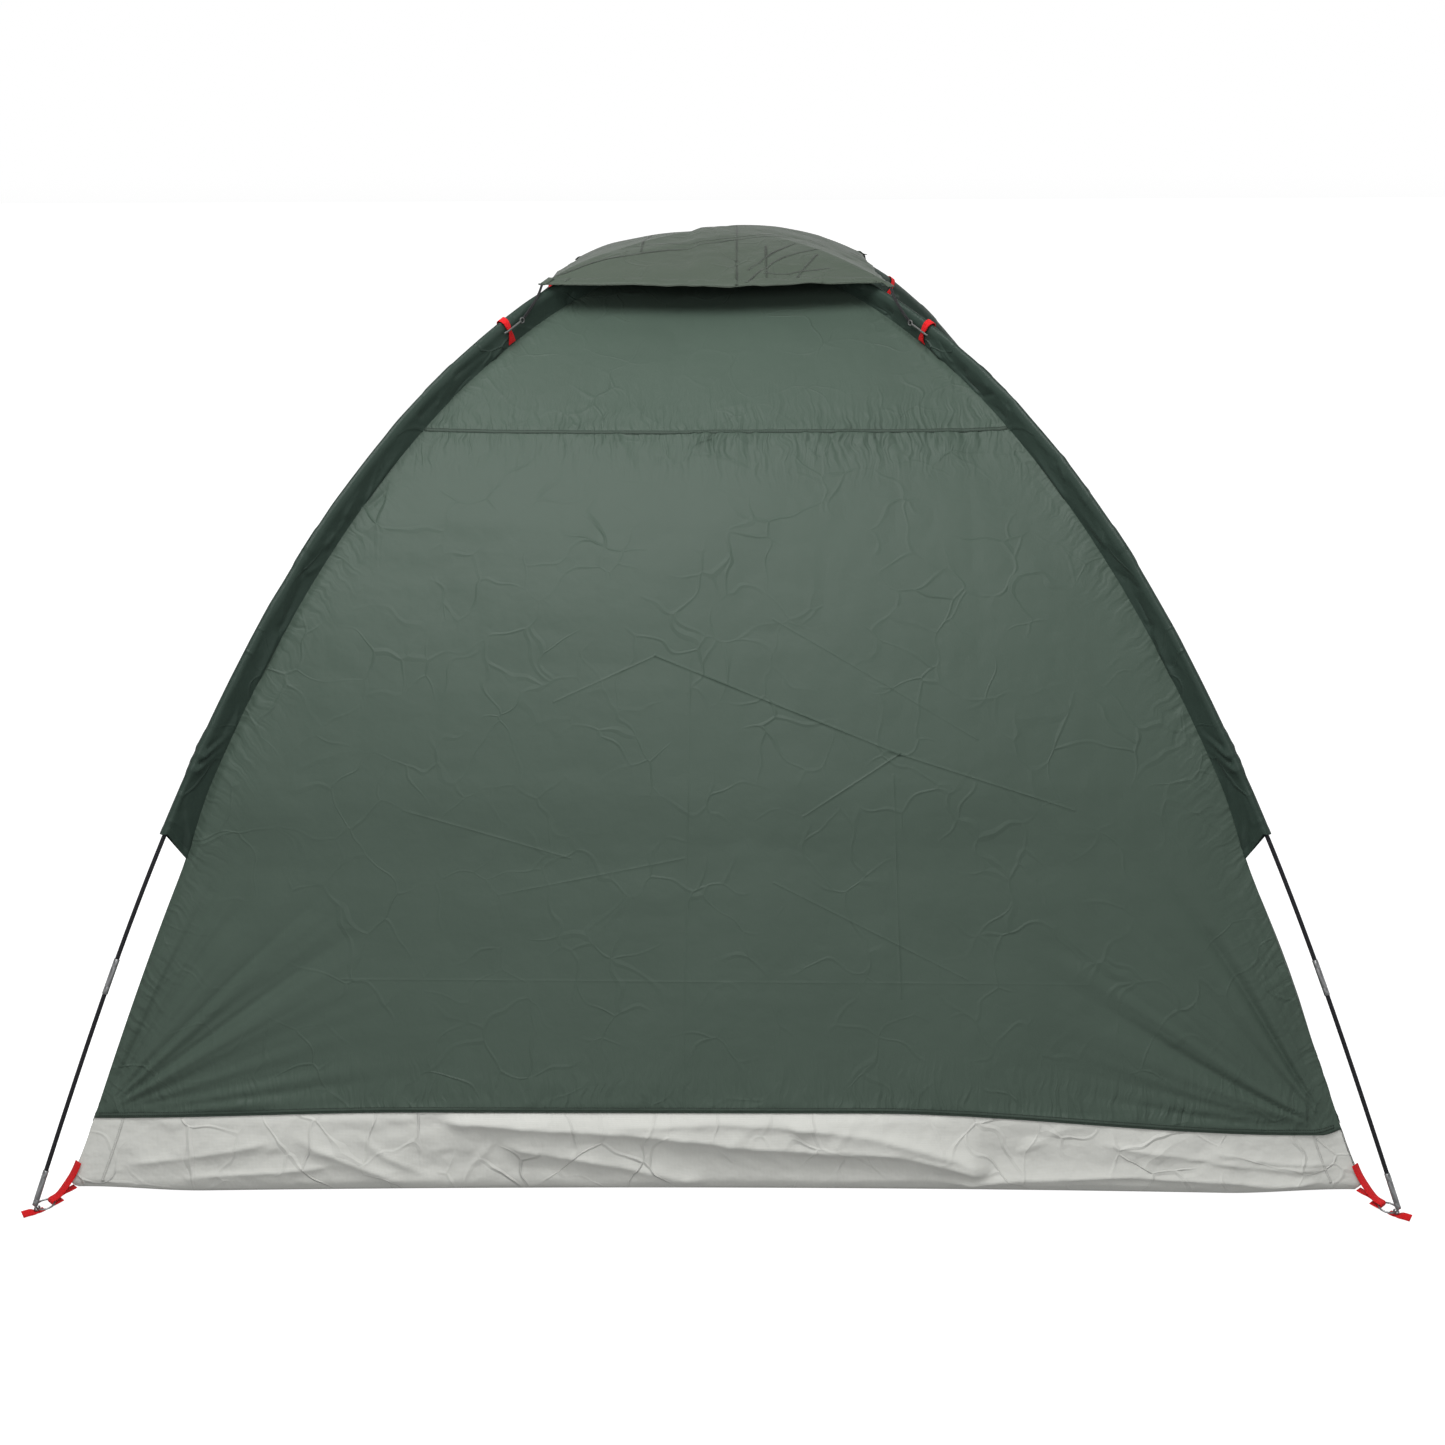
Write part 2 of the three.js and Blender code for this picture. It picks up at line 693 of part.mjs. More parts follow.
function addSlider(name, x) {
  const { width, length, height } = SLIDER_SIZE;
  const body = addMesh(`zip_slider_${name}`, roundedPlate(width, length, 4, height), "zip", METAL);
  const at = sliderPlace(0, SLIDER_CLEARANCE);
  body.position.set(x, at.y, at.z);
  body.rotation.x = at.lean;
  const pull = addMesh(
    `zip_pull_${name}`,
    roundedPlate(PULL_SIZE.width, PULL_SIZE.length, 3, PULL_SIZE.thickness),
    "zip",
    METAL,
  );
  const below = -(length + PULL_SIZE.length + PULL_CLEARANCE) / 2;
  const hang = sliderPlace(below, SLIDER_CLEARANCE + height + PULL_CLEARANCE);
  pull.position.set(x, hang.y, hang.z);
  pull.rotation.x = hang.lean;
}

// ---- The whole tent ----

addTub();
addWalls();
addRoofAndCap();
for (const corner of CORNERS) {
  addPoleLeg(corner);
  addSleeve(corner);
  addRing(corner);
  addPin(corner);
  addStrap(corner);
  addSleeveLoop(corner);
  addHook(corner);
  addTie(corner);
}
addCrownFerrules();
addSlider("left", DOOR_GAP / 2 - DOOR_HALF_WIDTH);
addSlider("right", DOOR_HALF_WIDTH - DOOR_GAP / 2);

export default tent;
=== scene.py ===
"""Looks of a pitched two-pole dome tent, in metres, +Z up, in the frame of its CAD model.

The photographed back wall faces -Y and the door faces +Y. Every cloth piece is a grid of points that
follows the bent poles, lifted along its normal by the puckers, folds and creases of that piece.
"""

import math

import bpy
import numpy as np
from mathutils import Matrix, Vector


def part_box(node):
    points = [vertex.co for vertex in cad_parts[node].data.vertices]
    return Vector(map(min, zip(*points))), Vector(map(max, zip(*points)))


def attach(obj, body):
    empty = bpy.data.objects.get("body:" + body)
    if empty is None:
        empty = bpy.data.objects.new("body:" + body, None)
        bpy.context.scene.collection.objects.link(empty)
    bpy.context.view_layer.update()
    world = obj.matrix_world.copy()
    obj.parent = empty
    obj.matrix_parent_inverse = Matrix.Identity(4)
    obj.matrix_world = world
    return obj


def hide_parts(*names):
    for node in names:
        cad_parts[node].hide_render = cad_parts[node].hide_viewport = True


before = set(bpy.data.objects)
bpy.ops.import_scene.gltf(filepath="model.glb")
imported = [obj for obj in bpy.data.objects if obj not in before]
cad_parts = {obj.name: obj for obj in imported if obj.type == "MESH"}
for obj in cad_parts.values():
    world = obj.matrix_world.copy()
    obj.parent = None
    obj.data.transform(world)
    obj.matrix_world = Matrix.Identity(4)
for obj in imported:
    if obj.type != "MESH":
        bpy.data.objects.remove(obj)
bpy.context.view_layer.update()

# ---- Sizes ----

FOOT_X, FOOT_Y, FOOT_HEIGHT = 1.105, 1.255, 0.015
FOOT_ANGLE = math.radians(63.1)
SECTION_LENGTH = 0.390
POLE_RADIUS = 0.0036
FERRULE_RADIUS = 0.00455
FERRULE_LENGTH = 0.060
CROSSING_SHIFT = 0.007

DEPTH_BARE, DEPTH_SLEEVE, DEPTH_TOP = 0.057, 0.044, 0.027
SLEEVE_START = 0.630
ROOF_EDGE = 2.040
TUB_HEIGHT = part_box("floor_tub")[1][2]
CLOTH, SLEEVE_CLOTH, THIN_CLOTH = 0.0008, 0.0006, 0.0005

SEAM_HEIGHT = 1.165
# Each seam band's width, how far its middle stands up, and how far its edges lie above the cloth.
CROSS_SEAM = (0.007, 0.0007, 0.0002)
FOOT_SEAM = (0.005, 0.0006, 0.0003)
FAN_HEIGHT = 0.011
SEAM_CLOTH = 0.0006
CORNER_SEAM_IN, CORNER_SEAM_WIDTH = 0.050, 0.004
UNDER_RADIUS = 0.014
CORNER_LIFT = 0.012
# How far the tub turns in under its floor, and how far its sides bow in.
FLOOR_TURN_IN = 0.060
TUB_BOW = 0.018
WALL_SAG = 0.010

SLEEVE_TOP, SLEEVE_SLACK, SLEEVE_HALF = 0.0085, 0.0065, 0.0075
SLEEVE_TUCK = 0.004
# How far short of the crown each sleeve ends.
SLEEVE_END = 0.060
CAP_EDGE = 1.862
CAP_RISE_TOP, CAP_RISE_EDGE = 0.020, 0.030
CAP_CORNER_PULL = 0.012
LOOP_AT = 1.735

DOOR_HALF_WIDTH = 0.430
DOOR_SILL = 0.180
DOOR_STRAIGHT_TOP = 0.730
DOOR_GAP = 0.003
# The zip coils start this far above the sill, clear of the wall when the door drops.
COIL_START = 0.010

CAMERA_PLACE = (0.0475, -3.600, 1.665)
CAMERA_TURN = (-19.23, -0.28, 0.709)
CAMERA_LENS = 42.4

# Lights: name, place, what each points at, its two sides in metres, and watts.
LIGHTS = [
    ("key_light", (-0.45, -1.7, 3.4), (-0.05, -0.9, 0.6), (2.4, 1.5), 88),
    ("front_light", (-0.10, -3.3, 2.2), (-0.05, -1.0, 0.6), (0.9, 0.7), 15),
    ("door_light", (-1.8, 3.9, 3.2), (0, 0.4, 0.6), (3.4, 2.2), 80),
    ("side_light", (3.6, 0.6, 3.0), (0, 0.2, 0.6), (2.0, 1.6), 40),
]
# World brightness by height of direction: (from, to, strength there, strength beyond), above and below.
WORLD_ABOVE = (0.08, 0.30, 1.0, 0.33)
WORLD_BELOW = (-0.02, -0.20, 1.0, 0.34)
FLOOR_HALF = 40.0
FLOOR_GLOW = 0.94


# ---- Camera and light ----


def add_camera():
    pitch, roll, yaw = (math.radians(a) for a in CAMERA_TURN)
    data = bpy.data.cameras.new("camera")
    data.lens = CAMERA_LENS
    data.sensor_width = 36
    camera = bpy.data.objects.new("camera", data)
    camera.matrix_world = (
        Matrix.Translation(CAMERA_PLACE)
        @ Matrix.Rotation(yaw, 4, "Z")
        @ Matrix.Rotation(math.pi / 2 + pitch, 4, "X")
        @ Matrix.Rotation(roll, 4, "Z")
    )
    bpy.context.scene.collection.objects.link(camera)
    bpy.context.scene.camera = camera


def add_light(name, place, target, size, power):
    data = bpy.data.lights.new(name, "AREA")
    data.shape = "RECTANGLE"
    data.size, data.size_y = size
    data.energy = power
    light = bpy.data.objects.new(name, data)
    light.location = place
    light.rotation_euler = (Vector(target) - Vector(place)).to_track_quat("-Z", "Y").to_euler()
    bpy.context.scene.collection.objects.link(light)
    return light


def add_world():
    """White near the horizon and greyer overhead, so that the lights above shape the tent."""
    world = bpy.data.worlds.new("studio")
    world.use_nodes = True
    tree = world.node_tree
    direction = tree.nodes.new("ShaderNodeTexCoord")
    parts = tree.nodes.new("ShaderNodeSeparateXYZ")
    tree.links.new(direction.outputs["Generated"], parts.inputs[0])
    both = tree.nodes.new("ShaderNodeMath")
    both.operation = "MULTIPLY"
    for n, limits in enumerate((WORLD_ABOVE, WORLD_BELOW)):
        height = tree.nodes.new("ShaderNodeMapRange")
        height.interpolation_type = "SMOOTHSTEP"
        for socket, value in zip(("From Min", "From Max", "To Min", "To Max"), limits):
            height.inputs[socket].default_value = value
        tree.links.new(parts.outputs["Z"], height.inputs["Value"])
        tree.links.new(height.outputs[0], both.inputs[n])
    tree.links.new(both.outputs[0], tree.nodes["Background"].inputs["Strength"])
    tree.nodes["Background"].inputs["Color"].default_value = (1, 1, 1, 1)
    bpy.context.scene.world = world


def add_studio():
    """Lights, world and floor. The door's light stays out of gloss, which would whiten the cap's far edge."""
    for light in LIGHTS:
        add_light(*light).visible_glossy = light[0] != "door_light"
    add_world()
    bpy.context.scene.view_settings.view_transform = "Standard"
    corners = [(x * FLOOR_HALF, y * FLOOR_HALF, 0) for x, y in ((-1, -1), (1, -1), (1, 1), (-1, 1))]
    mesh = bpy.data.meshes.new("studio_floor")
    mesh.from_pydata(corners, [], [(0, 1, 2, 3)])
    floor = bpy.data.objects.new("studio_floor", mesh)
    floor.location.z = -0.0005
    bpy.context.scene.collection.objects.link(floor)
    material = plain_material("pale_floor", (0.30, 0.30, 0.30), 0.9)
    shader = material.node_tree.nodes["Principled BSDF"]
    shader.inputs["Emission Color"].default_value = (1, 1, 1, 1)
    shader.inputs["Emission Strength"].default_value = FLOOR_GLOW
    floor.data.materials.append(material)
    floor.visible_diffuse = False
    floor.visible_glossy = False


# ---- Materials ----


class Nodes:
    """Adds shader nodes to one material and links them in order."""

    def __init__(self, name):
        self.material = bpy.data.materials.new(name)
        self.material.use_nodes = True
        self.tree = self.material.node_tree
        self.shader = self.tree.nodes["Principled BSDF"]

    def add(self, kind, inputs=(), **settings):
        node = self.tree.nodes.new(kind)
        for key, value in settings.items():
            setattr(node, key, value)
        for key, value in dict(inputs).items():
            self.feed(node.inputs[key], value)
        return node

    def feed(self, socket, value):
        if isinstance(value, bpy.types.NodeSocket):
            self.tree.links.new(value, socket)
        else:
            socket.default_value = value

    def math(self, operation, a, b=0.0, clamp=False):
        node = self.add("ShaderNodeMath", {0: a, 1: b}, operation=operation, use_clamp=clamp)
        return node.outputs[0]

    def times(self, a, b, clamp=False):
        return self.math("MULTIPLY", a, b, clamp)

    def plus(self, a, b, clamp=False):
        return self.math("ADD", a, b, clamp)

    def minus(self, a, b, clamp=False):
        return self.math("SUBTRACT", a, b, clamp)

    def cloth_uv(self, name="cloth"):
        return self.add("ShaderNodeUVMap", uv_map=name).outputs["UV"]

    def bands(self, where, scale, direction):
        inputs = {"Vector": where, "Scale": scale}
        wave = self.add("ShaderNodeTexWave", inputs, wave_type="BANDS", bands_direction=direction)
        return wave.outputs["Fac"]

    def vector(self, operation, a, b=(0, 0, 0)):
        node = self.add("ShaderNodeVectorMath", {0: a, 1: b}, operation=operation)
        return node.outputs["Value" if operation in ("LENGTH", "DOT_PRODUCT") else "Vector"]

    def noise(self, where, scale, detail=2.0, roughness=0.5, kind="FBM"):
        node = self.add(
            "ShaderNodeTexNoise",
            {"Vector": where, "Scale": scale, "Detail": detail, "Roughness": roughness},
            noise_type=kind,
        )
        return node.outputs["Fac"]

    def blend(self, factor, a, b):
        node = self.add("ShaderNodeMix", data_type="RGBA")
        self.feed(node.inputs[0], factor)
        self.feed(node.inputs[6], (*a, 1) if isinstance(a, tuple) else a)
        self.feed(node.inputs[7], (*b, 1) if isinstance(b, tuple) else b)
        return node.outputs[2]

    def bump(self, height, distance, strength=1.0, after=None):
        inputs = {"Height": height, "Distance": distance, "Strength": strength}
        if after is not None:
            inputs["Normal"] = after
        return self.add("ShaderNodeBump", inputs).outputs["Normal"]

    def finish(self, colour, roughness, normal=None, ior=1.5, **others):
        self.shader.inputs["IOR"].default_value = ior
        self.feed(self.shader.inputs["Base Color"], colour if hasattr(colour, "node") else (*colour, 1))
        self.feed(self.shader.inputs["Roughness"], roughness)
        if normal is not None:
            self.feed(self.shader.inputs["Normal"], normal)
        for key, value in others.items():
            self.feed(self.shader.inputs[key.replace("_", " ").title()], value)
        return self.material


def plain_material(name, colour, roughness):
    nodes = Nodes(name)
    return nodes.finish(colour, roughness)


def shade(colour, factor):
    return tuple(min(1.0, c * factor) for c in colour)


def crease_heights(nodes, where, creases, width):
    """Height of thin straight creases: 1 on each line, 0 from width away. Lines are in cloth metres."""
    total = None
    for (x0, y0), (x1, y1), depth in creases:
        along = (x1 - x0, y1 - y0, 0)
        start = nodes.vector("SUBTRACT", where, (x0, y0, 0))
        share = nodes.vector("DOT_PRODUCT", start, along)
        share = nodes.times(share, 1 / (along[0] ** 2 + along[1] ** 2), clamp=True)
        scaled = nodes.add("ShaderNodeVectorMath", {0: along, "Scale": share}, operation="SCALE")
        away = nodes.vector("LENGTH", nodes.vector("SUBTRACT", start, scaled.outputs["Vector"]))
        near = nodes.minus(1.0, nodes.math("DIVIDE", away, width), clamp=True)
        height = nodes.times(nodes.math("POWER", near, 2.0), depth)
        total = height if total is None else nodes.plus(total, height)
    return total


def gathers(nodes, across, from_seam, reach, spacing, slant=0.0):
    """Small puckers across a seam, about 1/spacing of them a metre, fading out at reach from the seam."""
    spots = nodes.add("ShaderNodeCombineXYZ", {"X": across, "Y": from_seam}).outputs[0]
    drift = nodes.noise(spots, 14.0, 2.0)
    shifted = nodes.plus(across, nodes.times(drift, 0.05))
    shifted = nodes.plus(shifted, nodes.times(from_seam, slant))
    stretched = nodes.add(
        "ShaderNodeCombineXYZ",
        {"X": nodes.times(shifted, 1 / spacing), "Y": nodes.times(from_seam, 0.14 / spacing)},
    ).outputs[0]
    waves = nodes.noise(stretched, 1.0, 1.5, 0.5)
    fade = nodes.minus(1.0, nodes.math("DIVIDE", nodes.math("ABSOLUTE", from_seam), reach), clamp=True)
    patches = nodes.times(nodes.noise(spots, 5.0, 1.0), 1.6, clamp=True)
    fade = nodes.times(nodes.math("POWER", fade, 2.0), patches)
    return nodes.times(waves, fade)


def gathered(nodes, where, seams, normal):
    """Puckers along the level seams of a wall and along its two ridge seams."""
    parts = nodes.add("ShaderNodeSeparateXYZ", {0: where})
    for level, reach, height in seams:
        away = nodes.minus(parts.outputs["Y"], level)
        along_seam = gathers(nodes, parts.outputs["X"], away, reach, SEAM_SPACING)
        normal = nodes.bump(along_seam, height, after=normal)
    edge = nodes.add("ShaderNodeSeparateXYZ", {0: nodes.cloth_uv("edge")})
    along_ridges = gathers(nodes, edge.outputs["Y"], edge.outputs["X"], *RIDGE_GATHERS)
    return nodes.bump(along_ridges, RIDGE_GATHER_HEIGHT, after=normal)


def stitched_material(name, colour, rows, thread=0.45):
    """A seam band with rows of stitches. Its UV runs along the seam, and across it from the middle."""
    nodes = Nodes(name)
    where = nodes.cloth_uv()
    parts = nodes.add("ShaderNodeSeparateXYZ", {0: where})
    dash = nodes.math("PINGPONG", parts.outputs["X"], STITCH_PITCH / 2)
    dash = nodes.math("GREATER_THAN", dash, STITCH_PITCH * 0.14)
    stitches = None
    for row in rows:
        near = nodes.math("ABSOLUTE", nodes.minus(parts.outputs["Y"], row))
        line = nodes.times(nodes.math("LESS_THAN", near, STITCH_HALF), dash)
        stitches = line if stitches is None else nodes.math("MAXIMUM", stitches, line)
    grain = nodes.noise(where, 700.0, 2.0)
    puckered = nodes.noise(where, 110.0, 2.0)
    tint = nodes.blend(nodes.times(grain, 0.3), colour, shade(colour, 0.6))
    tint = nodes.blend(stitches, tint, shade(colour, thread))
    normal = nodes.bump(puckered, 0.0016)
    normal = nodes.bump(stitches, 0.0005, after=normal)
    return nodes.finish(tint, 0.6, normal, ior=CLOTH_IOR, sheen_weight=0.04, sheen_roughness=0.5)


def crease_web(nodes, where, cells):
    """Thin straight creases between flat facets, as crushed cloth keeps them; cells is facets a metre."""
    inputs = {"Vector": where, "Scale": cells * 0.8, "Detail": 1.0}
    warp = nodes.add("ShaderNodeTexNoise", inputs).outputs["Color"]
    moved = nodes.vector("ADD", where, nodes.vector("MULTIPLY", warp, (0.12, 0.12, 0.0)))
    edges = nodes.add("ShaderNodeTexVoronoi", {"Vector": moved, "Scale": cells}, feature="DISTANCE_TO_EDGE")
    near = nodes.minus(1.0, nodes.times(edges.outputs["Distance"], 260.0 / cells), clamp=True)
    patches = nodes.minus(nodes.noise(where, cells * 0.6, 1.0), 0.42, clamp=True)
    return nodes.times(near, nodes.times(patches, 5.0))


def cloth_material(
    name, colour, roughness, sheen=0.1, creases=(), crumple=0.0, weave=0.0011, thread=0.00006, seams=(),
    crease_height=0.0022,
):
    """Woven, coated cloth: threads both ways, faint blotches, crumple lines and flat-pack creases."""
    nodes = Nodes(name)
    where = nodes.cloth_uv()
    blotches = nodes.noise(where, 5.0, 3.0, 0.6)
    grain = nodes.noise(where, 900.0, 1.0)
    tint = nodes.blend(blotches, shade(colour, 0.93), shade(colour, 1.07))
    tint = nodes.blend(nodes.times(grain, 0.25), tint, shade(colour, 0.7))
    ridges = nodes.noise(where, 9.0, 3.0, 0.45, "RIDGED_MULTIFRACTAL")
    fine = nodes.noise(where, 34.0, 2.0, 0.5)
    normal = nodes.bump(ridges, crumple)
    normal = nodes.bump(fine, crumple * 0.45, after=normal)
    normal = nodes.bump(crease_web(nodes, where, 12.0), crumple * 0.34, after=normal)
    flat = nodes.vector("MULTIPLY", where, (1.6, 17.0, 1.0))
    crinkles = nodes.noise(flat, 1.0, 3.0, 0.55, "RIDGED_MULTIFRACTAL")
    patches = nodes.minus(nodes.noise(where, 3.0, 1.0), 0.40, clamp=True)
    normal = nodes.bump(nodes.times(crinkles, patches), crumple * 3.4, after=normal)
    if creases:
        broken = nodes.plus(nodes.times(nodes.noise(where, 11.0, 1.0), 1.6), -0.2, clamp=True)
        lines = nodes.times(crease_heights(nodes, where, creases, CREASE_WIDTH), broken)
        normal = nodes.bump(lines, crease_height, after=normal)
    if seams:
        normal = gathered(nodes, where, seams, normal)
    threads = None
    for direction in ("X", "Y"):
        wave = nodes.bands(where, 0.314 / weave, direction)
        threads = wave if threads is None else nodes.math("MAXIMUM", threads, wave)
    normal = nodes.bump(threads, thread, after=normal)
    rough = nodes.plus(nodes.times(blotches, 0.12), roughness - 0.06)
    return nodes.finish(tint, rough, normal, ior=CLOTH_IOR, sheen_weight=sheen, sheen_roughness=0.4)


def webbing_material(name, colour):
    """Woven tape: diagonal twill ribs across the tape, with painted shade in the line between them and a
    painted highlight on their tops.
    """
    nodes = Nodes(name)
    where = nodes.cloth_uv()
    ribs = nodes.bands(where, 230.0, "DIAGONAL")
    cross = nodes.bands(where, 330.0, "X")
    height = nodes.times(ribs, nodes.plus(cross, 0.4))
    # Painted shade and painted highlight: the tint follows the ribs' height, darker where they sink and
    # lighter on their tops.
    tint = nodes.blend(height, shade(colour, 0.72), shade(colour, 1.1))
    return nodes.finish(
        tint, 0.6, nodes.bump(height, 0.0003), ior=CLOTH_IOR, sheen_weight=0.04, sheen_roughness=0.5
    )


def steel_material(name, colour, roughness):
    """Zinc plated steel: fine lengthwise scratches and duller spots."""
    nodes = Nodes(name)
    where = nodes.add("ShaderNodeTexCoord").outputs["Object"]
    spots = nodes.noise(where, 220.0, 3.0, 0.6)
    scratches = nodes.noise(where, 2400.0, 2.0)
    tint = nodes.blend(spots, shade(colour, 0.8), colour)
    rough = nodes.plus(nodes.times(spots, 0.2), roughness - 0.1)
    return nodes.finish(tint, rough, nodes.bump(scratches, 0.00004), metallic=1.0)


def fibreglass_material(name, colour):
    """Black pultruded rod: long faint fibres under a satin skin."""
    nodes = Nodes(name)
    where = nodes.cloth_uv()
    stretched = nodes.vector("MULTIPLY", where, (12.0, 1800.0, 1.0))
    fibres = nodes.noise(stretched, 1.0, 2.0)
    tint = nodes.blend(fibres, shade(colour, 0.7), shade(colour, 1.8))
    rough = nodes.plus(nodes.times(fibres, 0.15), 0.42)
    return nodes.finish(tint, rough, nodes.bump(fibres, 0.00003), ior=CLOTH_IOR)


def moulded_material(name, colour, roughness):
    """Moulded plastic with a fine spark-eroded grain."""
    nodes = Nodes(name)
    where = nodes.add("ShaderNodeTexCoord").outputs["Object"]
    grain = nodes.noise(where, 1500.0, 2.0)
    tint = nodes.blend(grain, shade(colour, 0.9), shade(colour, 1.08))
    return nodes.finish(tint, roughness, nodes.bump(grain, 0.00005))


def cord_material(name, colour):
    """Braided elastic cord, with painted highlights on the braid's raised strands and painted shade between
    them.
    """
    nodes = Nodes(name)
    where = nodes.cloth_uv()
    braid = nodes.bands(where, 300.0, "DIAGONAL")
    # Painted shade and painted highlight: the tint follows the braid's height, darker between strands and
    # lighter on them.
    tint = nodes.blend(braid, shade(colour, 0.6), shade(colour, 2.2))
    return nodes.finish(tint, 0.75, nodes.bump(braid, 0.0003))


def netting_material(name, colour):
    """Insect netting: dark threads round small open cells."""
    nodes = Nodes(name)
    where = nodes.cloth_uv()
    cells = nodes.add("ShaderNodeTexVoronoi", {"Vector": where, "Scale": 420.0, "Randomness": 0.15})
    thread = nodes.math("GREATER_THAN", cells.outputs["Distance"], 0.42)
    tint = nodes.blend(thread, shade(colour, 0.5), colour)
    cover = nodes.plus(nodes.times(thread, 0.55), 0.35)
    return nodes.finish(tint, 0.7, alpha=cover)


CREASE_WIDTH = 0.0045
STITCH_HALF, STITCH_PITCH = 0.0005, 0.0038
# Puckers: their spacing along level seams, and the reach, spacing, slant and height of those on the ridges.
SEAM_SPACING = 0.011
RIDGE_GATHERS, RIDGE_GATHER_HEIGHT = (0.12, 0.014, 0.7), 0.0065
# A low index of refraction keeps the coated cloth's satin gloss faint.
CLOTH_IOR = 1.24
WALL_GREEN = (0.059, 0.085, 0.067)
SLEEVE_GREEN = (0.030, 0.048, 0.0385)
CAP_GREEN = (0.066, 0.084, 0.065)
TUB_GREY = (0.58, 0.585, 0.55)
RED = (0.72, 0.012, 0.015)

# Flat-pack creases of the back wall: two ends, each (across, up the cloth), and a depth.
BACK_CREASES = [
    ((-0.10, 0.905), (0.31, 0.735), 1.0),
    ((0.31, 0.735), (0.60, 0.640), 0.7),
    ((0.31, 0.735), (0.15, 0.630), 0.8),
    ((-0.10, 0.905), (-0.27, 0.825), 0.5),
    ((0.30, 0.700), (0.31, 0.330), 0.45),
    ((0.10, 0.970), (0.44, 0.760), 0.45),
    ((-0.05, 0.560), (-0.36, 0.500), 0.4),
    ((-0.04, 0.900), (-0.05, 0.180), 0.3),
    ((0.10, 0.520), (0.42, 0.360), 0.4),
    ((-0.52, 0.640), (-0.24, 0.560), 0.35),
    ((-0.62, 0.360), (0.62, 0.352), 0.25),
]
SIDE_CREASES = [
    ((-0.02, 0.180), (-0.02, 1.100), 0.5),
    ((-0.60, 0.520), (0.62, 0.512), 0.4),
    ((0.10, 0.860), (0.46, 0.620), 0.7),
    ((-0.44, 0.760), (-0.12, 0.900), 0.6),
    ((0.46, 0.620), (0.30, 0.300), 0.5),
    ((-0.52, 0.360), (-0.20, 0.300), 0.4),
]
CAP_CREASES = [
    ((-0.31, -0.35), (-0.21, -0.28), 1.0),
    ((-0.21, -0.28), (-0.04, -0.20), 1.0),
    ((-0.04, -0.20), (0.14, -0.10), 1.0),
    ((-0.19, -0.20), (-0.04, -0.185), 0.8),
    ((-0.04, -0.185), (0.14, -0.075), 0.8),
    ((-0.145, -0.24), (-0.145, 0.24), 0.8),
    ((0.037, -0.36), (0.037, 0.36), 0.6),
    ((0.093, -0.35), (0.093, -0.20), 0.7),
    ((0.060, -0.31), (0.150, -0.18), 0.9),
    ((0.090, -0.33), (0.210, -0.31), 0.9),
    ((0.055, -0.35), (0.130, -0.26), 0.9),
    ((0.130, -0.26), (0.200, -0.21), 0.7),
    ((0.150, -0.34), (0.190, -0.25), 0.8),
    ((-0.30, 0.12), (0.30, 0.12), 0.6),
    ((-0.22, 0.28), (0.06, 0.10), 0.8),
]


def wall_material(name, creases):
    seams = WALL_SEAMS["left" if name == "side" else name]
    return cloth_material(f"{name}_wall_cloth", WALL_GREEN, 0.46, 0.04, creases, 0.0022, seams=seams)


def make_materials():
    return {
        "back_wall": wall_material("back", BACK_CREASES),
        "side_wall": wall_material("side", SIDE_CREASES),
        "front_wall": wall_material("front", ()),
        "sleeve": cloth_material("sleeve_cloth", SLEEVE_GREEN, 0.36, 0.04, crumple=0.0034),
        "cap": cloth_material("cap_cloth", CAP_GREEN, 0.46, 0.06, CAP_CREASES, 0.0050, crease_height=0.0105),
        "tub": cloth_material("tub_cloth", TUB_GREY, 0.5, 0.03, crumple=0.0056, weave=0.0022, thread=0.00012),
        "seam": stitched_material("wall_seam", shade(WALL_GREEN, 0.80), (-0.0020, 0.0020)),
        "tub_seam": stitched_material("tub_seam", shade(TUB_GREY, 0.98), (-0.0012, 0.0012), 0.8),
        "webbing": webbing_material("red_webbing", RED),
        "zip_tape": webbing_material("zip_tape", (0.028, 0.034, 0.030)),
        "steel": steel_material("zinc_plated_steel", (0.34, 0.345, 0.35), 0.36),
        "zip": steel_material("black_enamel", (0.06, 0.062, 0.06), 0.38),
        "pole": fibreglass_material("fibreglass", (0.012, 0.012, 0.014)),
        "hook": moulded_material("grey_nylon", (0.085, 0.088, 0.085), 0.42),
        "elastic": cord_material("black_elastic", (0.010, 0.010, 0.011)),
        "netting": netting_material("insect_netting", (0.022, 0.024, 0.024)),
    }


# ---- The bent poles and the ridges of cloth below them ----

UPWARD = np.array([0, 0, 1.0])
HALF_SPAN = math.hypot(FOOT_X, FOOT_Y)
TOWARD_X = FOOT_X / HALF_SPAN
TOWARD_Y = FOOT_Y / HALF_SPAN


def elastic_arch(count=800):
    """Arc length, distance from the middle, height and slope of a springy rod bent from foot to crown."""
    k = math.sin(FOOT_ANGLE / 2)
    phi = np.linspace(math.pi / 2, 0, count + 1)
    angle = 2 * np.arcsin(k * np.sin(phi))
    rate = 1 / np.sqrt(1 - (k * np.sin(phi)) ** 2)
    step = math.pi / 2 / count
    along = np.concatenate([[0], np.cumsum((rate[1:] + rate[:-1]) / 2) * step])
    run = rate * np.cos(angle)
    reach = np.concatenate([[0], np.cumsum((run[1:] + run[:-1]) / 2) * step])
    scale = HALF_SPAN / reach[-1]
    return along * scale, HALF_SPAN - reach * scale, FOOT_HEIGHT + 2 * k * np.cos(phi) * scale, angle


ARCH_S, ARCH_R, ARCH_Z, ARCH_ANGLE = elastic_arch()
CROWN_S, CROWN_Z = ARCH_S[-1], ARCH_Z[-1]


def pole(s):
    return np.interp(s, ARCH_S, ARCH_R), np.interp(s, ARCH_S, ARCH_Z), np.interp(s, ARCH_S, ARCH_ANGLE)


def smooth(x, low=0.0, high=1.0):
    t = np.clip((x - low) / (high - low), 0, 1)
    return t * t * (3 - 2 * t)


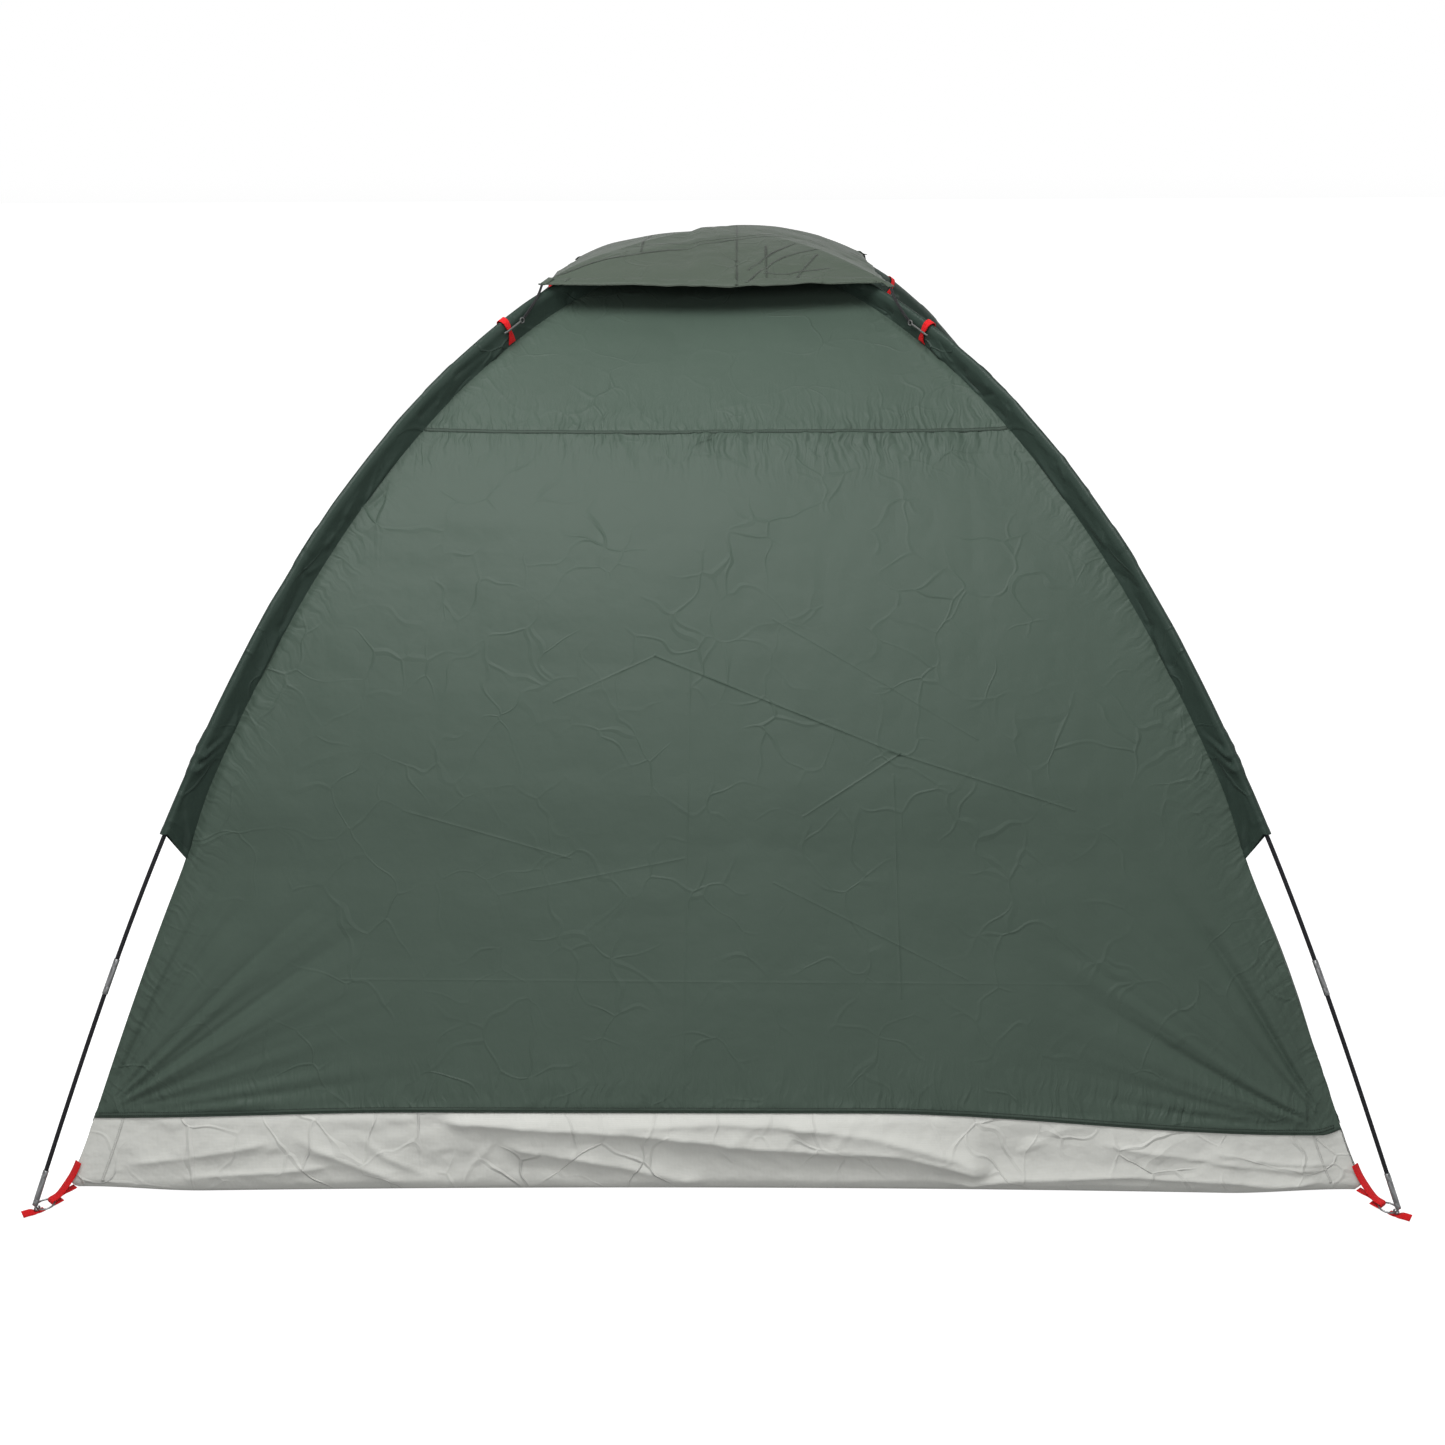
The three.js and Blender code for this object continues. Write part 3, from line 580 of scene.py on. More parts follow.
def ridge_depth(s):
    along = np.clip((s - SLEEVE_START) / (ROOF_EDGE - SLEEVE_START), 0, 1)
    in_sleeve = DEPTH_SLEEVE + (DEPTH_TOP - DEPTH_SLEEVE) * along
    bare = 1 - smooth(s, SLEEVE_START - 0.06, SLEEVE_START + 0.12)
    return in_sleeve + bare * (DEPTH_BARE - DEPTH_SLEEVE)


def ridge(s):
    r, z, angle = pole(s)
    depth = ridge_depth(s)
    return r - depth * np.sin(angle), z - depth * np.cos(angle)


RIDGE_S = np.linspace(0, CROWN_S, 900)
RIDGE_R, RIDGE_Z = ridge(RIDGE_S)


CORNERS = {
    "back_left": (-1, -1, CROSSING_SHIFT),
    "back_right": (1, -1, -CROSSING_SHIFT),
    "front_right": (1, 1, CROSSING_SHIFT),
    "front_left": (-1, 1, -CROSSING_SHIFT),
}


def crossing_shift(corner, s):
    return CORNERS[corner][2] * (pole(s)[1] / CROWN_Z) ** 8


def in_plane(corner, r, z, side=0.0):
    """A point in the corner's upright plane, r out from the middle, and moved sideways out of it."""
    sign_x, sign_y, _ = CORNERS[corner]
    out_x, out_y = sign_x * TOWARD_X, sign_y * TOWARD_Y
    turn = sign_x * sign_y
    r, z, side = np.broadcast_arrays(r, z, side)
    return np.stack([r * out_x - turn * side * out_y, r * out_y + turn * side * out_x, z], -1)


def near_pole(corner, s, depth=0.0, side=0.0):
    """A point beside the pole: depth below it, across it by side; positive side faces -Y or +Y."""
    r, z, angle = pole(s)
    height = z - depth * np.cos(angle) + crossing_shift(corner, s)
    return in_plane(corner, r - depth * np.sin(angle), height, side)


class Side:
    """One side of the tent: across runs along it, up runs up its cloth from the ground."""

    def __init__(self, across, out, half, reach):
        self.across = np.array([*across, 0.0])
        self.out = np.array([*out, 0.0])
        self.half, self.reach = half, reach
        run = np.hypot(np.diff(RIDGE_R) * reach, np.diff(RIDGE_Z))
        self.up = np.concatenate([[0], np.cumsum(run)])
        self.up -= np.interp(0, RIDGE_Z, self.up)

    def up_at(self, z):
        return np.interp(z, RIDGE_Z, self.up)

    def surface(self, up):
        """Distance from the middle, in ridge units, and height of the ideal surface."""
        return np.interp(up, self.up, RIDGE_R), np.interp(up, self.up, RIDGE_Z)

    def half_width(self, up):
        return np.interp(up, self.up, RIDGE_R) * self.half

    def place(self, across, up, lift=0.0):
        """Points of the side at cloth coordinates, lifted along the outward normal."""
        r, z = self.surface(up)
        (r_above, z_above), (r_below, z_below) = self.surface(up + 0.004), self.surface(up - 0.004)
        d_out, d_z = (r_above - r_below) * self.reach, z_above - z_below
        size = np.hypot(d_out, d_z)
        out = r * self.reach + lift * d_z / size
        height = z - lift * d_out / size
        across, out, height = np.broadcast_arrays(across, out, height)
        points = across[..., None] * self.across + out[..., None] * self.out
        points[..., 2] = height
        return points


SIDES = {
    "back": Side((1, 0), (0, -1), TOWARD_X, TOWARD_Y),
    "right": Side((0, 1), (1, 0), TOWARD_Y, TOWARD_X),
    "front": Side((-1, 0), (0, 1), TOWARD_X, TOWARD_Y),
    "left": Side((0, -1), (-1, 0), TOWARD_Y, TOWARD_X),
}

# Puckered seams of each wall: the seam's level up the cloth, how far its puckers reach, and their height.
WALL_SEAMS = {
    name: [(float(side.up_at(SEAM_HEIGHT)), 0.15, 0.0100), (float(side.up_at(TUB_HEIGHT)), 0.13, 0.0085)]
    for name, side in SIDES.items()
}


# ---- Meshes ----


def add_uv(mesh, name, uv):
    """A map on the mesh; uv has one pair for each point."""
    layer = mesh.uv_layers.new(name=name)
    corners = np.empty(len(mesh.loops), dtype=np.int32)
    mesh.loops.foreach_get("vertex_index", corners)
    layer.data.foreach_set("uv", np.asarray(uv, dtype=np.float32).reshape(-1, 2)[corners].ravel())


def make_object(name, points, faces, material, uv=None):
    mesh = bpy.data.meshes.new(name)
    mesh.from_pydata(np.asarray(points, float).reshape(-1, 3).tolist(), [], faces)
    mesh.polygons.foreach_set("use_smooth", [True] * len(mesh.polygons))
    if uv is not None:
        add_uv(mesh, "cloth", uv)
    mesh.materials.append(material)
    mesh.update()
    piece = bpy.data.objects.new(name, mesh)
    bpy.context.scene.collection.objects.link(piece)
    return piece


def grid_faces(rows, columns, around=False):
    last = columns if around else columns - 1
    row, column = np.meshgrid(np.arange(rows - 1), np.arange(last), indexing="ij")
    a = row * columns + column
    b = row * columns + (column + 1) % columns
    return np.stack([a, b, b + columns, a + columns], -1).reshape(-1, 4).tolist()


def grid_piece(name, points, material, uv, around=False, caps=False):
    """A piece from a grid of points; around closes each row on itself, caps closes the two ends."""
    rows, columns = points.shape[:2]
    faces = grid_faces(rows, columns, around)
    if caps:
        faces.append(list(range(columns))[::-1])
        faces.append([(rows - 1) * columns + i for i in range(columns)])
    return make_object(name, points, faces, material, uv)


def join(name, pieces):
    """Joins loose pieces into the first and renames it."""
    with bpy.context.temp_override(
        active_object=pieces[0], object=pieces[0], selected_objects=pieces, selected_editable_objects=pieces
    ):
        bpy.ops.object.join()
    pieces[0].name = name
    pieces[0].data.name = name
    return pieces[0]


def thicken(piece, thickness=CLOTH, offset=-1.0):
    solid = piece.modifiers.new("thickness", "SOLIDIFY")
    solid.thickness = thickness
    solid.offset = offset


def settle(piece, body, slot, *nodes):
    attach(piece, body)
    if nodes:
        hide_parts(*nodes)
    return piece


def lengths_along(path):
    return np.concatenate([[0], np.cumsum(np.linalg.norm(np.diff(path, axis=0), axis=1))])


def pairs(a, b):
    return np.stack(np.broadcast_arrays(a, b), -1)


def path_frames(path):
    """Two directions across a path at each of its points, carried on from point to point."""
    ahead = np.gradient(path, axis=0)
    ahead /= np.linalg.norm(ahead, axis=1)[:, None]
    ups = []
    up = UPWARD if abs(ahead[0][2]) < 0.9 else np.array([1.0, 0.0, 0.0])
    for t in ahead:
        up = up - t * np.dot(up, t)
        up = up / np.linalg.norm(up)
        ups.append(up)
    ups = np.array(ups)
    return np.cross(ups, ahead), ups


# How much of a map one turn round a bar takes up, in metres.
BAR_UV = 0.02


def round_bar(name, path, radius, material, sides=12, caps=True):
    """A round bar along a path; radius is one number or one for each point."""
    path = np.asarray(path, float)
    radius = np.broadcast_to(radius, len(path))
    right, up = path_frames(path)
    turn = np.linspace(0, 2 * math.pi, sides, endpoint=False)
    ring = right[:, None] * np.cos(turn)[None, :, None] + up[:, None] * np.sin(turn)[None, :, None]
    points = path[:, None] + ring * radius[:, None, None]
    along = lengths_along(path)
    uv = pairs(along[:, None], turn[None] / 6.28 * BAR_UV)
    return grid_piece(name, points, material, uv, around=True, caps=caps)


def curve_through(points, count):
    """Catmull-Rom curve through a few points."""
    p = np.asarray(points, float)
    p = np.concatenate([[2 * p[0] - p[1]], p, [2 * p[-1] - p[-2]]])
    t = np.linspace(0, len(p) - 3, count)
    i = np.minimum(t.astype(int), len(p) - 4)
    f = (t - i)[:, None]
    a, b, c, d = p[i], p[i + 1], p[i + 2], p[i + 3]
    return 0.5 * (2 * b + (c - a) * f + (2 * a - 5 * b + 4 * c - d) * f**2 + (3 * b - a - 3 * c + d) * f**3)


def tape(name, path, across, width, thickness, material):
    """Flat tape along a path: across is the direction of its width, one for each point or for all."""
    path = np.asarray(path, float)
    across = np.broadcast_to(across, path.shape)
    across = across / np.linalg.norm(across, axis=1)[:, None]
    width = np.broadcast_to(width, len(path))[:, None]
    ahead = np.gradient(path, axis=0)
    face = np.cross(ahead, across)
    face /= np.linalg.norm(face, axis=1)[:, None]
    half, edge = width / 2, thickness / 2
    top = [(-0.94, 1), (-0.3, 1), (0.3, 1), (0.94, 1)]
    outline = [(-1, 0), *top, (1, 0), *((a, -1) for a, _ in reversed(top))]
    rings = [path + across * half * a + face * edge * b for a, b in outline]
    points = np.stack(rings, 1)
    along = lengths_along(path)
    reach = np.array([a for a, _ in outline])
    uv = pairs(along[:, None], reach[None] * half)
    return grid_piece(name, points, material, uv, around=True, caps=True)


# ---- Folds and puckers of cloth ----


class Noise:
    """Smooth random height over a plane, the same each run."""

    def __init__(self, seed):
        self.table = np.random.default_rng(seed).uniform(-1, 1, (61, 61))

    def at(self, x, y, scale):
        x, y = np.asarray(x) / scale + 1000, np.asarray(y) / scale + 1000
        i, j = np.floor(x).astype(int), np.floor(y).astype(int)
        fx, fy = x - i, y - j
        fx, fy = fx * fx * (3 - 2 * fx), fy * fy * (3 - 2 * fy)
        size = len(self.table)
        a, b = self.table[i % size, j % size], self.table[(i + 1) % size, j % size]
        c, d = self.table[i % size, (j + 1) % size], self.table[(i + 1) % size, (j + 1) % size]
        return (a * (1 - fx) + b * fx) * (1 - fy) + (c * (1 - fx) + d * fx) * fy

    def creased(self, x, y, scale):
        """Crumpled height: soft cushions between sharp valleys."""
        total, size = 0.0, 1.0
        for n in range(3):
            total = total + size * np.abs(self.at(x + 0.37 * n, y - 0.21 * n, scale / 2**n))
            size *= 0.5
        return total


def puckers(across, up, folds):
    """Sum of tapering folds, each (across, up, heading, length, width, height)."""
    lift = np.zeros(np.broadcast(across, up).shape)
    for x, y, heading, length, width, height in folds:
        dx, dy = across - x, up - y
        a = (dx * math.cos(heading) + dy * math.sin(heading)) / length
        b = (dy * math.cos(heading) - dx * math.sin(heading)) / width
        near = (a > 0) & (a < 1)
        t = np.where(near, a, 0)
        shape = np.exp(-(np.abs(b / (1 + t)) ** 1.5)) * np.clip(t / 0.1, 0, 1) * (1 - t) ** 1.5
        lift += height * np.where(near, shape, 0)
    return lift


# Sizes of folds: (least, most) of their length, width and height.
WALL_FOOT_FOLDS = ((0.02, 0.11), (0.004, 0.010), (0.0004, 0.0016))
BELOW_SEAM_FOLDS = ((0.015, 0.12), (0.003, 0.008), (0.0008, 0.0030))
ABOVE_SEAM_FOLDS = ((0.01, 0.05), (0.003, 0.006), (0.0004, 0.0014))
TUB_TOP_FOLDS = ((0.02, 0.09), (0.005, 0.014), (0.0006, 0.0026))
TUB_FOOT_FOLDS = ((0.02, 0.08), (0.005, 0.014), (0.0006, 0.0024))
TUB_MIDDLE_FOLDS = ((0.04, 0.2), (0.004, 0.010), (0.0006, 0.0028))


def fold_row(rng, count, start, end, heading, spread, sizes):
    """Puckers spaced at random along a line, of sizes (length, width, height)."""
    length, width, height = sizes
    folds = []
    for _ in range(count):
        t = rng.uniform()
        x = start[0] + (end[0] - start[0]) * t
        y = start[1] + (end[1] - start[1]) * t
        turn = heading + rng.normal() * spread
        big = rng.uniform() ** 2
        long = length[0] + (length[1] - length[0]) * big
        wide = width[0] + (width[1] - width[0]) * rng.uniform()
        high = (height[0] + (height[1] - height[0]) * big) * rng.choice([-1, 1], p=[0.35, 0.65])
        folds.append((x, y, turn, long, wide, high))
    return folds


def ridge_folds(rng, side, count, low, high, height):
    """Puckers that run inward from both ridge seams of a side."""
    folds = []
    for _ in range(count):
        up = rng.uniform(low, high)
        end = rng.choice([-1, 1])
        slope = math.atan2(0.02, side.half_width(up) - side.half_width(up + 0.02))
        heading = math.pi - slope + rng.normal() * 0.35 - 0.5
        heading = heading if end > 0 else math.pi - heading
        big = rng.uniform() ** 2
        sizes = 0.04 + 0.15 * big, rng.uniform(0.004, 0.010), height * (0.4 + big) * rng.choice([-1, 1])
        folds.append((end * side.half_width(up), up, heading, *sizes))
    return folds


def seam_drop(name, across):
    """How far the seam between wall and tub sags below the tub's height, most at the ends of a side."""
    if name != "back":
        return 0.004 + 0.011 * smooth(np.abs(across), 0.55, 1.0)
    right = 0.032 * smooth(across, 0.25, 0.95) - 0.014 * smooth(across, 0.985, 1.045)
    return 0.001 + 0.009 * smooth(-across, 0.5, 1.0) + right


class WallCloth:
    """Height of a wall's cloth off its ideal surface."""

    def __init__(self, name, seed, seam_folds=()):
        self.name = name
        self.side = side = SIDES[name]
        self.noise = Noise(seed)
        rng = np.random.default_rng(seed)
        self.low, self.high = side.up_at(TUB_HEIGHT), side.up_at(ridge(ROOF_EDGE)[1])
        self.seam = side.up_at(SEAM_HEIGHT)
        wide = side.half_width(self.low)
        self.folds = list(seam_folds)
        self.folds += ridge_folds(rng, side, 110, self.low, self.high, 0.0034)
        foot = (-wide, self.low), (wide, self.low)
        self.folds += fold_row(rng, 70, *foot, math.pi / 2, 0.3, WALL_FOOT_FOLDS)

    def foot(self, across):
        return self.side.up_at(TUB_HEIGHT - seam_drop(self.name, across))

    def corner_fans(self, across, up):
        """Folds that spread from the wall's two lower corners, where the pole's foot pulls it."""
        away = self.side.half_width(self.low) - np.abs(across)
        above = up - self.low
        reach = np.hypot(away, above)
        turn = np.arctan2(np.maximum(above, 0), np.maximum(away, 0.001)) + np.where(across > 0, 9.0, 0.0)
        window = smooth(reach, 0.015, 0.10) * (1 - smooth(reach, 0.20, 0.62))
        return FAN_HEIGHT * window * (self.noise.creased(turn, reach * 0.15, 0.17) - 0.6)

    def lift(self, across, up):
        side = self.side
        up = up + (self.low - self.foot(across)) * (1 - smooth(up, self.low, self.low + 0.3))
        room = side.half_width(up) - np.abs(across)
        ends = smooth(room, 0, 0.02)
        levels = smooth(up, self.low, self.low + 0.012) * (1 - smooth(up, self.high - 0.01, self.high))
        share = np.clip(np.abs(across) / side.half_width(up), 0, 1)
        sag = -WALL_SAG * (1 - share**2) * smooth(up, self.low, self.low + 0.3)
        broad = 0.0045 * self.noise.at(across, up, 0.42) + 0.0020 * self.noise.at(across + 3, up, 0.17)
        crumple = 0.0016 * self.noise.creased(across, up * 0.8, 0.13)
        fans = self.corner_fans(across, up)
        pinch = 1 - np.exp(-(((up - self.seam) / 0.004) ** 2))
        folds = puckers(across, up, self.folds)
        seam_groove = -0.0012 * np.exp(-(((up - self.seam) / 0.006) ** 2))
        foot = 0.0012 * (1 - smooth(up, self.low, self.low + 0.02))
        slack = sag + broad + crumple + fans + 1.8 * folds * (0.35 + 0.65 * pinch)
        lift = slack * ends * levels + seam_groove + foot
        if self.name != "front":
            return lift
        # The cloth lies flat along the door's hinge, so that the door turns clear of it.
        hinge = (1 - smooth(np.abs(up - side.up_at(DOOR_SILL)), 0.004, 0.09)) * smooth(room, 0.30, 0.55)
        return lift * (1 - hinge)


def seam_folds(side, seed, ranges):
    """Gathers hanging from the cross seam, in stretches of (from, to, count)."""
    rng = np.random.default_rng(seed)
    seam = side.up_at(SEAM_HEIGHT)
    folds = []
    for low, high, count in ranges:
        folds += fold_row(rng, count, (low, seam), (high, seam), -math.pi / 2, 0.3, BELOW_SEAM_FOLDS)
    half = side.half_width(seam)
    return folds + fold_row(rng, 30, (-half, seam), (half, seam), math.pi / 2, 0.3, ABOVE_SEAM_FOLDS)


# ---- Walls ----

# Rows and columns of each grid of cloth.
BACK_GRID, SIDE_GRID, DOOR_GRID, FLOOR_GRID = (330, 400), (210, 260), (130, 90), (150, 170)
FRONT_RINGS, DOORWAY_POINTS = 46, 420


def eased(count, tightness=0.5):
    """Numbers from -1 to 1 that crowd towards both ends."""
    t = np.linspace(-1, 1, count)
    return (1 - tightness) * t + tightness * np.sin(t * math.pi / 2)


def wall_grid(cloth, rows, columns):
    share = eased(columns)[None]
    t = np.linspace(0, 1, rows)[:, None]
    low = cloth.low - 0.004
    guess = share * cloth.side.half_width(low + (cloth.high - low) * t)
    foot = cloth.foot(guess[:1]) - 0.004
    up = foot + (cloth.high - foot) * t
    return share * (cloth.side.half_width(up) - 0.0006), up


def edge_map(cloth, across, up):
    """Distance from the nearest ridge seam, and the way along it, for the puckers there."""
    return np.stack([cloth.side.half_width(up) - np.abs(across), up + np.where(across > 0, 5.0, 0.0)], -1)


def side_area(side, low, high):
    up = np.linspace(low, high, 200)
    return float(np.sum(2 * side.half_width(up)) * (high - low) / 200)


def add_cloth_grid(name, cloth, across, up, material, body, node, around=False):
    points = cloth.side.place(across, up, cloth.lift(across, up))
    piece = grid_piece(name, points, material, pairs(across, up), around=around)
    add_uv(piece.data, "edge", edge_map(cloth, across, up))
    thicken(piece)
    return settle(piece, body, "wall_fabric", node)


def declare_wall(piece, cloth, less_area=0.0):
    flat = (2 * cloth.side.half_width(cloth.low), cloth.high - cloth.low)
    area = side_area(cloth.side, cloth.low, cloth.high) - less_area


def add_wall(name, cloth, material, grid):
    across, up = wall_grid(cloth, *grid)
    declare_wall(add_cloth_grid(f"{name}_cloth", cloth, across, up, material, "tent", name), cloth)


def add_seam_band(name, cloth, stations, level, sizes, material):
    """A raised band along a seam. stations are across the wall; level is the seam's place up the cloth."""
    width, raised, bed = sizes
    across = stations[:, None]
    band = np.array([-1, -0.8, 0, 0.8, 1])[None]
    up = level + band * width / 2
    lift = cloth.lift(across + 0 * up, up + 0 * across) + raised * (1 - np.abs(band) ** 4) + bed
    points = cloth.side.place(across + 0 * up, up + 0 * across, lift)
    piece = grid_piece(name, points, material, pairs(across, band * width / 2))
    thicken(piece, SEAM_CLOTH)
    return settle(piece, "tent", "wall_fabric")


def add_cross_seam(name, cloth, material):
    """The felled seam across a wall."""
    half = cloth.side.half_width(cloth.seam) - 0.002
    stations = np.linspace(-half, half, 260)
    add_seam_band(f"{name}_cross_seam", cloth, stations, cloth.seam, CROSS_SEAM, material)


def add_foot_seam(cloth, material):
    """The seam that joins a wall to the tub."""
    half = cloth.side.half_width(cloth.low) - 0.004
    stations = np.linspace(-half, half, 300)
    level = cloth.foot(stations[:, None]) + 0.002
    add_seam_band(f"{cloth.name}_foot_seam", cloth, stations, level, FOOT_SEAM, material)


def add_walls(materials):
    back = WallCloth("back", 11, seam_folds(SIDES["back"], 5, [(-0.40, -0.05, 26), (-0.05, 0.49, 95)]))
    add_wall("back_wall", back, materials["back_wall"], BACK_GRID)
    add_cross_seam("back_wall", back, materials["seam"])
    add_foot_seam(back, materials["seam"])
    for name, seed in (("left", 12), ("right", 13)):
        cloth = WallCloth(name, seed, seam_folds(SIDES[name], seed, [(-0.5, 0.5, 60)]))
        add_wall(f"{name}_wall", cloth, materials["side_wall"], SIDE_GRID)
        add_cross_seam(f"{name}_wall", cloth, materials["seam"])
        add_foot_seam(cloth, materials["seam"])


# ---- The front wall and its door ----


def doorway(grow, count):
    """Outline of the doorway as (across, height), from the lower right corner up, over and down."""
    radius = DOOR_HALF_WIDTH + grow
    sill = DOOR_SILL - grow
    straight = DOOR_STRAIGHT_TOP - sill
    lengths = [straight, math.pi * radius, straight, 2 * radius]
    total = sum(lengths)
    outline = []
    for t in np.arange(count) / count * total:
        if t < lengths[0]:
            outline.append((radius, sill + t))
        elif t < lengths[0] + lengths[1]:
            turn = (t - lengths[0]) / radius
            outline.append((radius * math.cos(turn), DOOR_STRAIGHT_TOP + radius * math.sin(turn)))
        elif t < total - lengths[3]:
            outline.append((-radius, DOOR_STRAIGHT_TOP - (t - lengths[0] - lengths[1])))
        else:
            outline.append((-radius + (t - total + lengths[3]), sill))
    return np.array(outline)


def add_front(materials):
    side = SIDES["front"]
    cloth = WallCloth("front", 14, seam_folds(side, 14, [(-0.45, 0.45, 40)]))
    add_foot_seam(cloth, materials["seam"])
    inner = doorway(DOOR_GAP * 0.3, DOORWAY_POINTS)
    inner_up = side.up_at(inner[:, 1])
    middle = (cloth.low + cloth.high) / 2
    outer = np.array([outer_edge(side, cloth, x, up, middle) for x, up in zip(inner[:, 0], inner_up)])
    share = np.linspace(0, 1, FRONT_RINGS)[:, None] ** 1.3
    across = inner[:, 0] * (1 - share) + outer[:, 0] * share
    up = inner_up * (1 - share) + outer[:, 1] * share
    cut = materials["front_wall"], "tent", "front_wall"
    wall = add_cloth_grid("front_wall_cloth", cloth, across, up, *cut, around=True)
    door_area = 0.93 * 2 * DOOR_HALF_WIDTH * (side.up_at(DOOR_STRAIGHT_TOP) - side.up_at(DOOR_SILL)) + 0.36
    declare_wall(wall, cloth, door_area)
    add_door(cloth, materials)
    add_zip(cloth, materials)


def outer_edge(side, cloth, x, up, middle):
    """Where a ray from the panel's middle through a doorway point leaves the panel."""
    low, high = 1.0, 12.0
    for _ in range(40):
        t = (low + high) / 2
        px, py = x * t, middle + (up - middle) * t
        inside = cloth.foot(px) - 0.004 < py < cloth.high and abs(px) < side.half_width(py) - 0.0006
        low, high = (t, high) if inside else (low, t)
    return x * low, middle + (up - middle) * low


def door_half_width(height, radius):
    return np.where(
        height < DOOR_STRAIGHT_TOP,
        radius,
        np.sqrt(np.maximum(radius**2 - (height - DOOR_STRAIGHT_TOP) ** 2, 0)),
    )


def add_door(cloth, materials):
    side = cloth.side
    radius = DOOR_HALF_WIDTH - DOOR_GAP
    rows, columns = DOOR_GRID
    t = np.linspace(0, 1, rows)
    heights = np.where(
        t < 0.55,
        DOOR_SILL + DOOR_GAP + (DOOR_STRAIGHT_TOP - DOOR_SILL - DOOR_GAP) * t / 0.55,
        DOOR_STRAIGHT_TOP + radius * np.sin((t - 0.55) / 0.45 * math.pi / 2),
    )[:, None]
    across = eased(columns, 0.4)[None] * np.maximum(door_half_width(heights, radius), 0.0005)
    up = side.up_at(heights) + 0 * across
    door = add_cloth_grid("door_cloth", cloth, across, up, materials["front_wall"], "door", "door_panel")
    width, height = 2 * radius, side.up_at(DOOR_STRAIGHT_TOP + radius) - side.up_at(DOOR_SILL)


def zip_line(offset, count=360):
    """Doorway outline without its sill, moved outward by offset: (across, height)."""
    outline = doorway(offset, 2000)
    sill = outline[:, 1] > DOOR_SILL - offset + 1e-6
    kept = outline[sill]
    pick = np.linspace(0, len(kept) - 1, count).astype(int)
    return kept[pick]


def on_front(cloth, line, raise_by):
    up = cloth.side.up_at(line[:, 1])
    return cloth.side.place(line[:, 0], up, cloth.lift(line[:, 0], up) + raise_by)


def add_zip(cloth, materials):
    """Two zip tapes and a toothed coil, one half on the wall and one on the door."""
    for name, body, near, far in (("wall", "tent", -0.0002, 0.012), ("door", "door", -0.0028, -0.015)):
        inner, outer = zip_line(near), zip_line(far)
        lines = ((inner, 0.0012), ((inner + outer) / 2, 0.0014), (outer, 0.0006))
        points = np.stack([on_front(cloth, line, raise_by) for line, raise_by in lines], 1)
        along = lengths_along(points[:, 0])
        uv = pairs(along[:, None], np.array([0, 0.006, 0.012])[None])
        strip = grid_piece(f"zip_tape_{name}", points, materials["zip_tape"], uv)
        thicken(strip, CLOTH, 0.0)
        settle(strip, body, "zip_metal")
        sign = 1 if name == "wall" else -1
        teeth = coil_teeth(f"zip_coil_{name}", cloth, near + sign * 0.0006, materials["zip"])
        settle(teeth, body, "zip_metal")


def coil_teeth(name, cloth, offset, material):
    """A toothed bead along the zip: a round bar whose radius pulses at the tooth pitch."""
    outline = zip_line(offset, 1400)
    outline = outline[outline[:, 1] > DOOR_SILL + COIL_START]
    line = on_front(cloth, outline, 0.0024)
    radius = 0.0012 + 0.0004 * np.cos(np.arange(len(line)) * math.pi / 2)
    return round_bar(name, line, radius, material, sides=6)


# ---- The tub floor ----


# Long folds of the tub's back side: how far across, at what height, how high, and how wide above and below.
BACK_TUB_FOLDS = [
    ((-0.46, -0.36, -0.1, 0.07, 0.3, 0.47), (0.12, 0.114, 0.1, 0.078, 0.07, 0.036), 0.0085, 0.03, 0.016),
    ((-0.36, -0.22, -0.08, 0.00), (0.078, 0.056, 0.030, 0.006), 0.0060, 0.022, 0.014),
    ((-0.70, -0.60, -0.50), (0.096, 0.052, 0.008), 0.0050, 0.016, 0.014),
    ((-0.60, -0.54, -0.46), (0.102, 0.060, 0.020), 0.0030, 0.010, 0.010),
    ((-0.42, -0.385, -0.345), (0.024, 0.060, 0.106), 0.0035, 0.007, 0.008),
    ((0.10, 0.27, 0.40, 0.47), (0.118, 0.098, 0.066, 0.040), 0.0065, 0.016, 0.020),
    ((0.38, 0.50, 0.68, 0.84, 1.00), (0.008, 0.028, 0.040, 0.036, 0.016), 0.0075, 0.024, 0.016),
    ((-0.98, -0.86, -0.72), (0.050, 0.066, 0.090), 0.0040, 0.012, 0.014),
    ((-0.90, -0.76, -0.62), (0.024, 0.036, 0.048), 0.0040, 0.010, 0.012),
    ((0.62, 0.76, 0.92, 1.02), (0.100, 0.084, 0.060, 0.052), 0.0035, 0.012, 0.012),
    ((0.80, 0.92, 1.03), (0.096, 0.074, 0.064), 0.0030, 0.010, 0.010),
    ((-0.20, 0.00, 0.20), (0.112, 0.118, 0.110), 0.0030, 0.010, 0.012),
]


def long_folds(across, level, folds):
    """Sharp-crested folds that run along a side."""
    lift = 0 * across
    for xs, zs, height, above, below in folds:
        away = level - np.interp(across, xs, zs)
        ends = smooth(across, xs[0], xs[0] + 0.05) * (1 - smooth(across, xs[-1] - 0.05, xs[-1]))
        lift = lift + height * ends * np.exp(-np.abs(away) / np.where(away > 0, above, below))
    return lift


